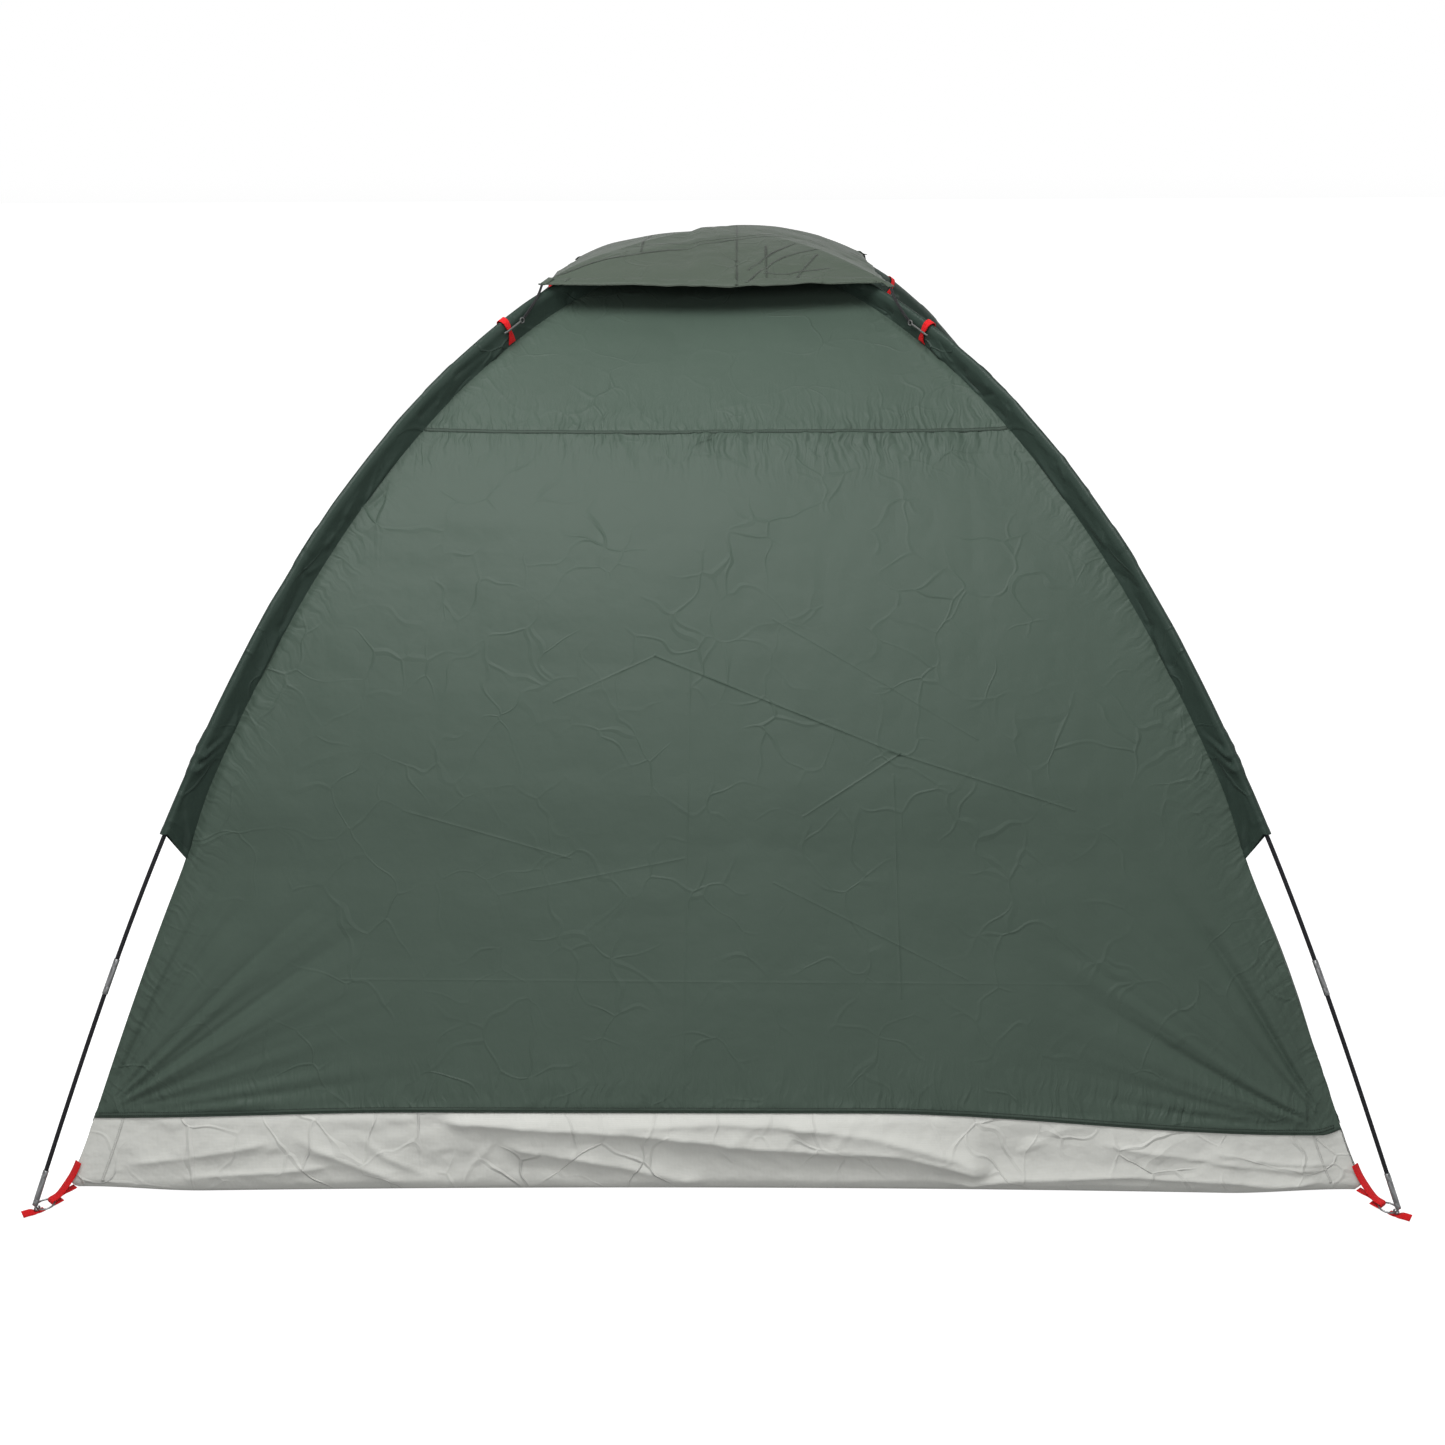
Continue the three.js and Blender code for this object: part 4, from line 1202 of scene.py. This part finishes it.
def random_long_folds(rng, half, count):
    folds = []
    for _ in range(count):
        start = rng.uniform(-half + 0.04, half - 0.4)
        length = rng.uniform(0.15, 0.55)
        low, high = rng.uniform(0.01, 0.12, 2)
        xs = tuple(start + length * t for t in (0, 0.4, 1))
        zs = (low, low + (high - low) * rng.uniform(0.2, 0.8), high)
        sizes = [rng.uniform(*limits) for limits in ((0.002, 0.008), (0.008, 0.03), (0.008, 0.02))]
        folds.append((xs, zs, *sizes))
    return folds


class TubSide:
    """One side of the tub's wall, with its folds."""

    def __init__(self, name, number):
        self.name, self.side, self.shift = name, SIDES[name], 3.0 * number
        self.noise = Noise(31 + number)
        rng = np.random.default_rng(31 + number)
        self.half = self.side.half_width(self.side.up_at(0.06))
        self.long = BACK_TUB_FOLDS if name == "back" else random_long_folds(rng, self.half, 12)
        rows = (
            (60, TUB_HEIGHT, -math.pi / 2, 0.6, TUB_TOP_FOLDS),
            (60, 0, math.pi / 2, 0.8, TUB_FOOT_FOLDS),
            (50, 0.07, 0.25, 0.5, TUB_MIDDLE_FOLDS),
        )
        self.small = []
        for count, height, heading, spread, sizes in rows:
            ends = (-self.half, height), (self.half, height)
            self.small += fold_row(rng, count, *ends, heading, spread, sizes)

    def place(self, share, level, raised=0.0):
        """Points at shares -1 to 1 of the side's width; a level below 0 is that far in under the floor."""
        side = self.side
        height = max(level, 0.0)
        drop = seam_drop(self.name, share * np.interp(height, RIDGE_Z, RIDGE_R) * side.half)
        rise = height * (1 - drop / TUB_HEIGHT)
        r = np.interp(rise, RIDGE_Z, RIDGE_R)
        under = UNDER_RADIUS * (1 - min(height / UNDER_RADIUS / 1.6, 1.0)) ** 2 + max(-level, 0.0)
        across = share * (r * side.half - under)
        ends = smooth(side.half * r - under - np.abs(across), 0, 0.03)
        top = 1 - smooth(level, TUB_HEIGHT - 0.018, TUB_HEIGHT - 0.004)
        low = 1 - smooth(height, 0.0, TUB_HEIGHT)
        flat = np.full_like(across, height)
        lift = 1.9 * long_folds(across, flat, self.long) + 1.3 * puckers(across, flat, self.small)
        lift = lift + 0.0040 * (self.noise.creased(across, flat * 1.3, 0.10) - 0.5)
        lift = lift + 0.0060 * self.noise.at(across, flat, 0.3)
        lift = lift * smooth(height, 0.0, 0.02) * top * (0.2 + 0.8 * ends) - 0.0016 * (1 - top) + raised
        lift = lift - TUB_BOW * low * (1 - share**2) - under
        points = across[:, None] * side.across + (r * side.reach + lift)[:, None] * side.out
        corner = smooth(np.abs(share), 0.80, 1.0) * (1 - smooth(height, 0.0, TUB_HEIGHT * 0.8))
        buckle = 0.004 * (self.noise.at(across + 9, 7.0, 0.09) + 0.6) * (1 - smooth(height, 0.01, 0.05))
        corner = corner * (1 - smooth(-level, 0.0, 0.045))
        points[:, 2] = rise + CORNER_LIFT * corner + np.maximum(buckle, 0.0) * smooth(height, 0, 0.008)
        points[:, 2] += 0.0012 + 0.003 * smooth(-level, 0.0, 0.03)
        return points, np.stack([across + self.shift, np.full_like(across, level)], -1)


def add_tub(materials):
    turned = np.linspace(0.0, 0.03, 7)
    upright = np.linspace(0.034, TUB_HEIGHT + 0.004, 30)
    levels = np.concatenate([np.linspace(-FLOOR_TURN_IN, -0.006, 7), turned, upright])
    sides = [TubSide(name, n) for n, name in enumerate(("back", "right", "front", "left"))]
    rings, uvs = [], []
    for tub_side in sides:
        shares = eased(420 if tub_side.name == "back" else 260, 0.35)[:-1]
        placed = [tub_side.place(shares, level) for level in levels]
        rings.append(np.stack([points for points, _ in placed]))
        uvs.append(np.stack([uv for _, uv in placed]))
    points, uv = np.concatenate(rings, 1), np.concatenate(uvs, 1)
    points[..., 2] = np.maximum(points[..., 2], 0.0009)
    piece = grid_piece("tub_wall_cloth", points, materials["tub"], uv, around=True)
    thicken(piece)
    settle(piece, "tent", "tub_fabric", "floor_tub")
    half_x, half_y = (SIDES[n].half_width(0) for n in ("back", "left"))
    for tub_side in sides:
        add_tub_corner_seams(tub_side, materials["tub_seam"])
    add_floor(Noise(31), materials)


def add_tub_corner_seams(tub_side, material):
    """Each end of a side has an upright stitched seam where the corner piece is joined on."""
    pieces = []
    for end in (-1, 1):
        edge = tub_side.half - CORNER_SEAM_IN + np.linspace(-1, 1, 5) * CORNER_SEAM_WIDTH / 2
        shares = end * edge / tub_side.half
        levels = np.linspace(0.014, TUB_HEIGHT - 0.006, 24)
        rows = [tub_side.place(shares, level, 0.0003)[0] for level in levels]
        band = np.linspace(-1, 1, 5)[None] * CORNER_SEAM_WIDTH / 2
        uv = pairs(levels[:, None], band)
        piece = grid_piece(f"tub_seam_{tub_side.name}_{end}", np.stack(rows), material, uv)
        thicken(piece, THIN_CLOTH)
        pieces.append(piece)
    settle(join(f"tub_corner_seams_{tub_side.name}", pieces), "tent", "tub_fabric")


def add_floor(noise, materials):
    r = np.interp(0, RIDGE_Z, RIDGE_R)
    half_x, half_y = r * TOWARD_X - FLOOR_TURN_IN, r * TOWARD_Y - FLOOR_TURN_IN
    columns, rows = FLOOR_GRID
    x, y = np.meshgrid(np.linspace(-half_x, half_x, columns), np.linspace(-half_y, half_y, rows))
    edge = smooth(np.minimum(half_x - np.abs(x), half_y - np.abs(y)), 0, 0.08)
    z = 0.0022 + edge * (0.006 * noise.creased(x, y, 0.5) + 0.003 * (noise.at(x, y, 0.25) + 1))
    points = np.stack([x, y, z], -1)
    piece = grid_piece("floor_cloth", points, materials["tub"], np.stack([x + 20, y], -1))
    thicken(piece)
    settle(piece, "tent", "tub_fabric")


# ---- Sleeves ----


# Folds every sleeve has, as (across from the channel, along the pole, heading, length, width, height).
SLEEVE_FOLDS = [
    (0.000, 0.752, 1.02, 0.085, 0.0040, 0.0042),
    (0.000, 0.766, 1.02, 0.080, 0.0030, -0.0034),
    (0.000, 0.776, 1.05, 0.085, 0.0045, 0.0052),
    (0.002, 0.796, 1.00, 0.070, 0.0030, -0.0030),
    (0.046, 0.626, 2.03, 0.105, 0.0050, 0.0050),
    (0.036, 0.622, 1.86, 0.085, 0.0035, -0.0032),
    (0.044, 0.930, 1.72, 0.190, 0.0080, 0.0055),
    (0.030, 1.020, 1.66, 0.170, 0.0070, -0.0040),
    (0.044, 1.300, 1.70, 0.200, 0.0080, 0.0045),
    (0.020, 1.190, 1.50, 0.150, 0.0060, 0.0030),
    (0.040, 1.680, 1.90, 0.100, 0.0060, 0.0045),
    (0.044, 1.560, 1.75, 0.140, 0.0070, -0.0035),
]


def sleeve_top(s):
    return SLEEVE_TOP + SLEEVE_SLACK * smooth(s, 0.700, 1.400) * (1 - smooth(s, 1.800, 2.150))


def random_sleeve_fold(rng):
    across, along = DEPTH_SLEEVE * rng.uniform(), rng.uniform(SLEEVE_START, CROWN_S)
    heading, length = 1.57 + rng.normal() * 0.45, 0.04 + 0.10 * rng.uniform()
    width = rng.uniform(0.003, 0.007)
    return across, along, heading, length, width, rng.uniform(0.0008, 0.0026) * rng.choice([-1, 1])


def add_sleeve(corner, seed, materials):
    """A folded strip: two plies from the ridge seam, round the pole, with cross folds where it gathers."""
    rng = np.random.default_rng(seed)
    noise = Noise(seed)
    stations = np.linspace(0, 1, 620)[:, None] ** 1.1
    plies, arc = 16, 11
    share = np.concatenate([np.linspace(1, 0, plies), np.zeros(arc), np.linspace(0, 1, plies)])[None]
    over = np.linspace(0, math.pi, arc + 2)[1:-1]
    turn = np.concatenate([np.zeros(plies), over, np.full(plies, math.pi)])[None]
    start = SLEEVE_START + 0.008 - 0.032 * share - 0.004 * np.sin(turn)
    s = start + (CROWN_S - SLEEVE_END - start) * stations
    seam = ridge_depth(s) + crossing_shift(corner, s) + SLEEVE_TUCK
    joint = np.abs((s + SECTION_LENGTH / 2) % SECTION_LENGTH - SECTION_LENGTH / 2)
    ferrule = 1 - smooth(joint, FERRULE_LENGTH / 2, FERRULE_LENGTH / 2 + 0.015)
    top = sleeve_top(s) - 0.0012 + 0.0014 * ferrule
    top = top + 0.0010 * noise.at(s, 3.0, 0.05) * smooth(s, 0.8, 1.2)
    half = SLEEVE_HALF - 0.0012 + 0.0008 * ferrule
    on_arc = (turn > 0) & (turn < math.pi)
    face = np.where(turn < math.pi / 2, 1.0, -1.0)
    across = np.where(on_arc, 0.0, share * DEPTH_SLEEVE)
    flank = half * (1 - share) ** 1.4 + 0.0007
    depth = np.where(on_arc, -top * np.sin(turn) ** 0.8, seam * share)
    side = np.where(on_arc, flank * np.cos(turn), flank * face)
    folds = SLEEVE_FOLDS + [random_sleeve_fold(rng) for _ in range(40)]
    wrinkle = 1.5 * puckers(across + 0 * s, s + face * 0.006, folds)
    wrinkle = wrinkle + 0.0008 * noise.at(share * 0.03 + face, s, 0.035)
    window = np.where(on_arc, 0.35, smooth(1 - share, 0.0, 0.25))
    side = side + face * wrinkle * window
    depth = depth - np.abs(wrinkle) * np.where(on_arc, 0.3, 0.0)
    hem = 1 - smooth(s - start, 0.010, 0.0115)
    side = side + face * 0.0007 * hem
    points = near_pole(corner, s, depth, side)
    uv = pairs(s, share * 0.05 + face * 0.1)
    piece = grid_piece(f"sleeve_{corner}", points, materials["sleeve"], uv)
    thicken(piece, SLEEVE_CLOTH)
    settle(piece, "tent", "sleeve_fabric", f"pole_sleeve_{corner}")


# ---- Poles ----


def unfold(profile):
    """Distances and radii of a turned profile, with a hair between steps so that each has a direction."""
    along = np.array([a for a, _ in profile]) + 1e-6 * np.arange(len(profile))
    return along, np.array([r for _, r in profile])


def lathe_on_pole(name, corner, s, profile, material, sides=24):
    """A turned part on the pole: profile is [(distance along, radius), ...] from s."""
    along, radius = unfold(profile)
    return round_bar(name, near_pole(corner, s + along), radius, material, sides)


def ferrule_profile(length, radius):
    """A tube with rounded lips, and a crimped ring near each end."""
    edge = 0.0006
    lip = [(0, POLE_RADIUS), (0, radius - edge), (edge, radius)]
    half = lip + [(0.012, radius), (0.013, radius - 0.0004), (0.014, radius)]
    return half + [(length - a, r) for a, r in reversed(half)]


def tip_profile():
    r = FERRULE_RADIUS
    return [
        (0.0, 0.0026), (0.0, r - 0.0008), (0.0006, r), (0.010, r), (0.0108, r - 0.0004), (0.0116, r),
        (0.046, r), (0.047, r - 0.0004), (0.048, r), (0.0592, r), (0.060, r - 0.0007), (0.060, POLE_RADIUS),
    ]


def add_rod(name, corner, low, high, count, materials):
    path = near_pole(corner, np.linspace(low, high, count))
    rod = round_bar(f"rod_{name}_{corner}", path, POLE_RADIUS, materials["pole"], 16)
    settle(rod, "tent", "fibreglass", f"pole_{name}_{corner}")


def add_pole_leg(corner, materials):
    joint = SECTION_LENGTH
    steel = materials["steel"]
    tip = lathe_on_pole(f"tip_{corner}", corner, 0.0, tip_profile(), steel)
    settle(tip, "tent", "steel", f"pole_tip_{corner}")
    add_rod("lower", corner, 0.046, joint - 0.001, 40, materials)
    profile = ferrule_profile(FERRULE_LENGTH, FERRULE_RADIUS)
    starts = [n * joint - FERRULE_LENGTH / 2 for n in range(1, 6)]
    ferrule = lathe_on_pole(f"ferrule_{corner}", corner, starts[0], profile, steel)
    settle(ferrule, "tent", "steel", f"pole_ferrule_{corner}")
    add_rod("upper", corner, joint + 0.001, CROWN_S - 0.0006, 160, materials)
    name = f"inner_ferrule_{corner}"
    hidden = [lathe_on_pole(name, corner, start, profile, steel, 16) for start in starts[1:]]
    settle(join(f"inner_ferrules_{corner}", hidden), "tent", "steel")


def add_crown_ferrule(name, corner, materials):
    sign_x, sign_y, shift = CORNERS[corner]
    heading = np.array([-sign_x * TOWARD_X, -sign_y * TOWARD_Y, 0])
    middle = np.array([0, 0, CROWN_Z + shift - 0.00017])
    profile = ferrule_profile(FERRULE_LENGTH, FERRULE_RADIUS)
    along, radius = unfold(profile)
    path = middle + heading * (along[:, None] - FERRULE_LENGTH / 2)
    piece = round_bar(f"{name}_turned", path, radius, materials["steel"], 24)
    settle(piece, "tent", "steel", name)


# ---- Corner ring, pin and strap ----

RING_RADIUS = 0.014
WIRE_RADIUS = 0.0016
RING_HEIGHT = 0.0084
EYE_RADIUS = 0.004
RING_CENTRE = HALF_SPAN - 0.003 - RING_RADIUS
WEBBING = 0.0016
LOOP_WIDTH, LOW_WIDTH, TAIL_WIDTH = 0.017, 0.013, 0.012
TAIL_TURN = math.radians(50)


def add_ring(corner, materials):
    stations, sides = 48, 12
    turn = np.linspace(0, 2 * math.pi, stations + 1)[:-1]
    section = np.linspace(0, 2 * math.pi, sides, endpoint=False)
    r = RING_CENTRE + RING_RADIUS * np.cos(turn)
    path = in_plane(corner, r, RING_HEIGHT, RING_RADIUS * np.sin(turn))
    outward = (path - in_plane(corner, RING_CENTRE, RING_HEIGHT)) / RING_RADIUS
    wire = WIRE_RADIUS * np.stack([np.cos(section), np.sin(section)])
    points = path[:, None] + outward[:, None] * wire[0][None, :, None] + UPWARD * wire[1][None, :, None]
    faces = np.array(grid_faces(stations + 1, sides, True)) % (stations * sides)
    piece = make_object(f"ring_{corner}", points, faces.tolist(), materials["steel"])
    settle(piece, "tent", "steel", f"corner_ring_{corner}")


def round_wire(centre, degrees):
    """Points (distance out, height) on a small turn round a wire of the ring."""
    turns = np.radians(degrees)
    return [(centre + EYE_RADIUS * math.cos(t), RING_HEIGHT + EYE_RADIUS * math.sin(t)) for t in turns]


def add_pin(corner, materials):
    eye = RING_CENTRE + RING_RADIUS
    shank = [near_pole(corner, s) for s in (0.036, 0.020, 0.002)]
    loop = [in_plane(corner, r, z) for r, z in round_wire(eye, [60, 20, -20, -60, -100, -140, -180, -220])]
    path = curve_through(shank + loop, 60)
    piece = round_bar(f"pin_{corner}", path, WIRE_RADIUS, materials["steel"], 12)
    settle(piece, "tent", "steel", f"corner_pin_{corner}")


def add_strap(corner, materials):
    """Red webbing: sewn up the tub's corner, looped round the ring, with a tail out under the pin."""
    wire = RING_CENTRE - RING_RADIUS

    def seam(z, away):
        return (float(np.interp(z, RIDGE_Z, RIDGE_R)) + away, z)

    loop = [seam(0.057, 0.0035), seam(0.046, 0.005), seam(0.034, 0.009), (wire - 0.012, RING_HEIGHT + 0.007)]
    loop += round_wire(wire + 0.001, [75, 35, 0, -35, -75]) + [(wire - 0.014, RING_HEIGHT - 0.003)]
    low = [seam(0.016, -0.006), seam(0.015, 0.004), seam(0.015, 0.014), (wire - 0.009, RING_HEIGHT + 0.0045)]
    tail = [(HALF_SPAN - 0.014, 0.0016), (HALF_SPAN - 0.003, 0.0022)]
    tail += [(HALF_SPAN + 0.009, 0.0066), (HALF_SPAN + 0.022, 0.0092)]
    across = in_plane(corner, 0.0, 0.0, 1.0)
    pieces = []
    parts = ("loop", loop, LOOP_WIDTH), ("low", low, LOW_WIDTH), ("tail", tail, TAIL_WIDTH)
    for name, route, width in parts:
        path = np.array([in_plane(corner, r, z) for r, z in route])
        path = curve_through(path, 14 * len(route))
        beyond = np.hypot(path[:, 0], path[:, 1]) - HALF_SPAN
        turn = TAIL_TURN * smooth(beyond, -0.002, 0.009)[:, None]
        twisted = across * np.cos(turn) - UPWARD * np.sin(turn)
        pieces.append(tape(f"{name}_{corner}", path, twisted, width, WEBBING, materials["webbing"]))
    settle(join(f"strap_{corner}", pieces), "tent", "webbing_red", f"corner_strap_{corner}")


# ---- Rain cap, its ties, hooks and loops ----


TAB_WIDTH = 0.016
TIE_RADIUS, TIE_APART = 0.00125, 0.0016
HOOK_RADIUS, HOOK_WIRE, HOOK_EYE = 0.0018, 0.0014, 0.0045
HOOK_SIDE = 0.0148

# Folds of the cap near its back edge: (x, y, heading in degrees, length, width, height).
CAP_FOLDS = [
    (-0.28, -0.33, 34, 0.50, 0.016, 0.006),
    (-0.25, -0.27, 27, 0.45, 0.014, 0.004),
    (0.28, -0.33, 150, 0.26, 0.015, -0.004),
    (0.02, -0.35, 55, 0.22, 0.012, 0.005),
    (0.08, -0.35, 62, 0.20, 0.010, 0.005),
    (0.14, -0.35, 100, 0.18, 0.012, -0.004),
    (0.20, -0.35, 75, 0.16, 0.010, 0.004),
    (-0.05, -0.36, 95, 0.20, 0.014, -0.003),
]


def cap_point(level, corner):
    """The cap's ridge above a pole: level 0 is the crown and 1 the cap's corner."""
    reach = CAP_EDGE - CROWN_S - (CAP_CORNER_PULL if corner == "back_left" else 0.0)
    s = CROWN_S + reach * level
    rise = CAP_RISE_TOP + (CAP_RISE_EDGE - CAP_RISE_TOP) * level - 0.001
    return near_pole(corner, s, -rise) - np.stack([0 * s, 0 * s, crossing_shift(corner, s) * 0.5], -1)


def add_cap(materials):
    """A square of cloth over the crossing, straight from ridge to ridge, with slack folds and a wavy hem."""
    noise = Noise(41)
    rng = np.random.default_rng(41)
    levels = 56
    per_side = 64
    top = CROWN_Z + CAP_RISE_TOP - 0.002
    t = np.linspace(0, 1, per_side, endpoint=False)[:, None]
    rows = []
    for level in np.arange(levels + 1) / levels:
        corners = [cap_point(level, corner) for corner in CORNERS]
        ring = np.concatenate([a * (1 - t) + b * t for a, b in zip(corners, corners[1:] + corners[:1])])
        blend = smooth(level, 0.0, 0.10)
        ring[:, 2] = ring[:, 2] * blend + top * (1 - blend)
        rows.append(ring)
    points = np.stack(rows)
    x, y = points[..., 0], points[..., 1]
    level = np.linspace(0, 1, levels + 1)[:, None] + 0 * x
    t = (np.arange(4 * per_side) % per_side / per_side)[None] + 0 * x
    between = np.sin(math.pi * t)
    folds = [(a, b, math.radians(degrees), *sizes) for a, b, degrees, *sizes in CAP_FOLDS]
    for _ in range(26):
        turn = rng.uniform(0, 2 * math.pi)
        heading = turn + math.pi + rng.normal() * 0.5
        length, width = rng.uniform(0.08, 0.3), rng.uniform(0.008, 0.018)
        height = rng.choice([-1, 1]) * rng.uniform(0.001, 0.004)
        folds.append((0.33 * math.cos(turn), 0.36 * math.sin(turn), heading, length, width, height))
    lift = 1.5 * puckers(x, y, folds) * (0.3 + 0.7 * between)
    lift += 0.0035 * (noise.creased(x, y, 0.11) - 0.5) * between * smooth(level, 0.05, 0.3)
    lift += 0.004 * noise.at(x, y, 0.16) * between * level
    lift -= 0.004 * between * level**1.5
    lift -= 0.0060 * smooth(-x, 0.03, 0.06) * (1 - smooth(-x, 0.20, 0.30)) * (1 - smooth(level, 0.5, 0.9))
    hem = smooth(level, 0.93, 1.0)
    lift += hem * between * (0.0022 * noise.at(x, y, 0.022) + 0.0030 * noise.at(x + 5, y, 0.055))
    points[..., 2] += lift
    piece = grid_piece("cap_cloth", points, materials["cap"], pairs(x, y), around=True)
    thicken(piece)
    settle(piece, "cap", "cap_fabric", "rain_cap")
    corner = cap_point(np.float64(1), "front_right")
    add_cap_hem(points, materials)


def add_cap_hem(points, materials):
    """The turned-under hem, a doubled band along the cap's edge."""
    edge, inner = points[-1], points[-4]
    outward = edge - inner
    outward /= np.linalg.norm(outward, axis=1)[:, None]
    band = [edge + outward * 0.0009 - UPWARD * 0.0012, edge + outward * 0.0012]
    for t, raised in ((0.35, 0.0011), (0.95, 0.0010), (1.0, 0.0)):
        band.append(edge * (1 - t) + inner * t + UPWARD * raised)
    grid = np.stack(band)
    uv = pairs(lengths_along(edge)[None], (np.arange(len(band)) * 0.003)[:, None])
    piece = grid_piece("cap_hem", grid, materials["cap"], uv, around=True)
    thicken(piece, THIN_CLOTH)
    settle(piece, "cap", "cap_fabric")


def add_cap_fixing(corner, materials):
    corner_point = cap_point(np.float64(1), corner)
    across = in_plane(corner, 0.0, 0.0, 1.0)
    tab = curve_through(
        [
            near_pole(corner, CAP_EDGE + 0.012, -0.0275),
            corner_point + np.array([0, 0, -0.001]),
            near_pole(corner, CAP_EDGE - 0.014, -0.0285),
        ],
        10,
    )
    tab_piece = tape(f"cap_tab_{corner}", tab, across, TAB_WIDTH, WEBBING, materials["cap"])
    settle(tab_piece, "cap", "cap_fabric")
    strands = []
    for apart in (-TIE_APART, TIE_APART):
        route = [
            near_pole(corner, CAP_EDGE - 0.012, -0.0275, apart),
            near_pole(corner, LOOP_AT + 0.092, -0.018, 0.0085 + apart),
            near_pole(corner, LOOP_AT + 0.062, -0.007 + apart, 0.0130),
            near_pole(corner, LOOP_AT + 0.032, 0.002 + apart, HOOK_SIDE),
        ]
        path = curve_through(route, 30)
        strands.append(round_bar(f"strand_{corner}", path, TIE_RADIUS, materials["elastic"], 8))
    settle(join(f"tie_{corner}", strands), "cap", "elastic", f"cap_tie_{corner}")
    route = [(0.028, HOOK_SIDE), (0.018, 0.015), (0.006, 0.015), (-0.006, 0.015)]
    route += [(-0.013, 0.014), (-0.014, 0.0122)]
    path = curve_through([near_pole(corner, LOOP_AT + a, 0.002, b) for a, b in route], 40)
    radius = np.full(40, HOOK_RADIUS)
    radius[-1], radius[-2] = 0.0011, 0.0016
    hook = round_bar(f"hook_bar_{corner}", path, radius, materials["hook"], 12)
    turn = np.linspace(0, 2 * math.pi, 33)
    eye_at = LOOP_AT + 0.0315 + HOOK_EYE * np.cos(turn)
    eye = near_pole(corner, eye_at, 0.002 + HOOK_EYE * np.sin(turn), HOOK_SIDE)
    eye_piece = round_bar(f"hook_eye_{corner}", eye, HOOK_WIRE, materials["hook"], 10, caps=False)
    settle(join(f"hook_{corner}", [hook, eye_piece]), "cap", "hook_plastic", f"cap_hook_{corner}")


def add_sleeve_loop(corner, materials):
    """Red webbing from the ridge seam on one side of the sleeve, over it, to the other side's seam."""
    seam = float(ridge_depth(LOOP_AT) + crossing_shift(corner, LOOP_AT))
    half = [(seam - 0.0025, 0.0032), (0.020, 0.0075), (0.010, 0.0105), (0.0, 0.0112), (-0.012, 0.0090)]
    route = half + [(-0.0172, 0.0)] + [(depth, -side) for depth, side in reversed(half)]
    count = 60
    section = curve_through(route, count)
    path = near_pole(corner, np.full(count, LOOP_AT), section[:, 0], section[:, 1])
    ahead = near_pole(corner, np.float64(LOOP_AT + 0.01)) - near_pole(corner, np.float64(LOOP_AT))
    from_seam = 1 - np.abs(np.linspace(-1, 1, count))
    width = np.interp(from_seam, [0, 0.45, 0.62, 1], [0.019, 0.0070, 0.0115, 0.0150])
    piece = tape(f"loop_{corner}", path, ahead, width, WEBBING, materials["webbing"])
    settle(piece, "tent", "webbing_red", f"sleeve_loop_{corner}")


# ---- Roof netting ----


def add_roof(materials):
    levels = 22
    share = np.linspace(-1, 1, 2 * levels + 1)
    i, j = np.meshgrid(share, share)
    level = np.maximum(np.abs(i), np.abs(j))
    r, z = ridge(CROWN_S + (ROOF_EDGE - 0.004 - CROWN_S) * level)
    scale = np.where(level > 0, r / np.maximum(level, 1e-9), 0)
    noise = Noise(51)
    x, y = i * scale * TOWARD_X, j * scale * TOWARD_Y
    z = z + 0.003 * noise.at(x, y, 0.12) * (1 - smooth(level, 0.8, 1.0)) - 0.004 * (1 - level)
    piece = grid_piece("roof_netting", np.stack([x, y, z], -1), materials["netting"], pairs(x, y))
    thicken(piece, THIN_CLOTH)
    settle(piece, "tent", "mesh_fabric", "roof_mesh")


# ---- Zip sliders ----


def add_sliders(materials):
    for name in ("left", "right"):
        for part in ("slider", "pull"):
            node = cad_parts[f"zip_{part}_{name}"]
            for slot in node.material_slots:
                slot.material = materials["zip"]


# ---- The whole tent ----


def main():
    add_camera()
    materials = make_materials()
    add_studio()
    add_walls(materials)
    add_front(materials)
    add_tub(materials)
    add_roof(materials)
    for seed, corner in enumerate(CORNERS):
        add_sleeve(corner, 60 + seed, materials)
        add_pole_leg(corner, materials)
        add_ring(corner, materials)
        add_pin(corner, materials)
        add_strap(corner, materials)
        add_cap_fixing(corner, materials)
        add_sleeve_loop(corner, materials)
    add_crown_ferrule("crown_ferrule_upper_pole", "back_left", materials)
    add_crown_ferrule("crown_ferrule_lower_pole", "back_right", materials)
    add_cap(materials)
    add_sliders(materials)


main()
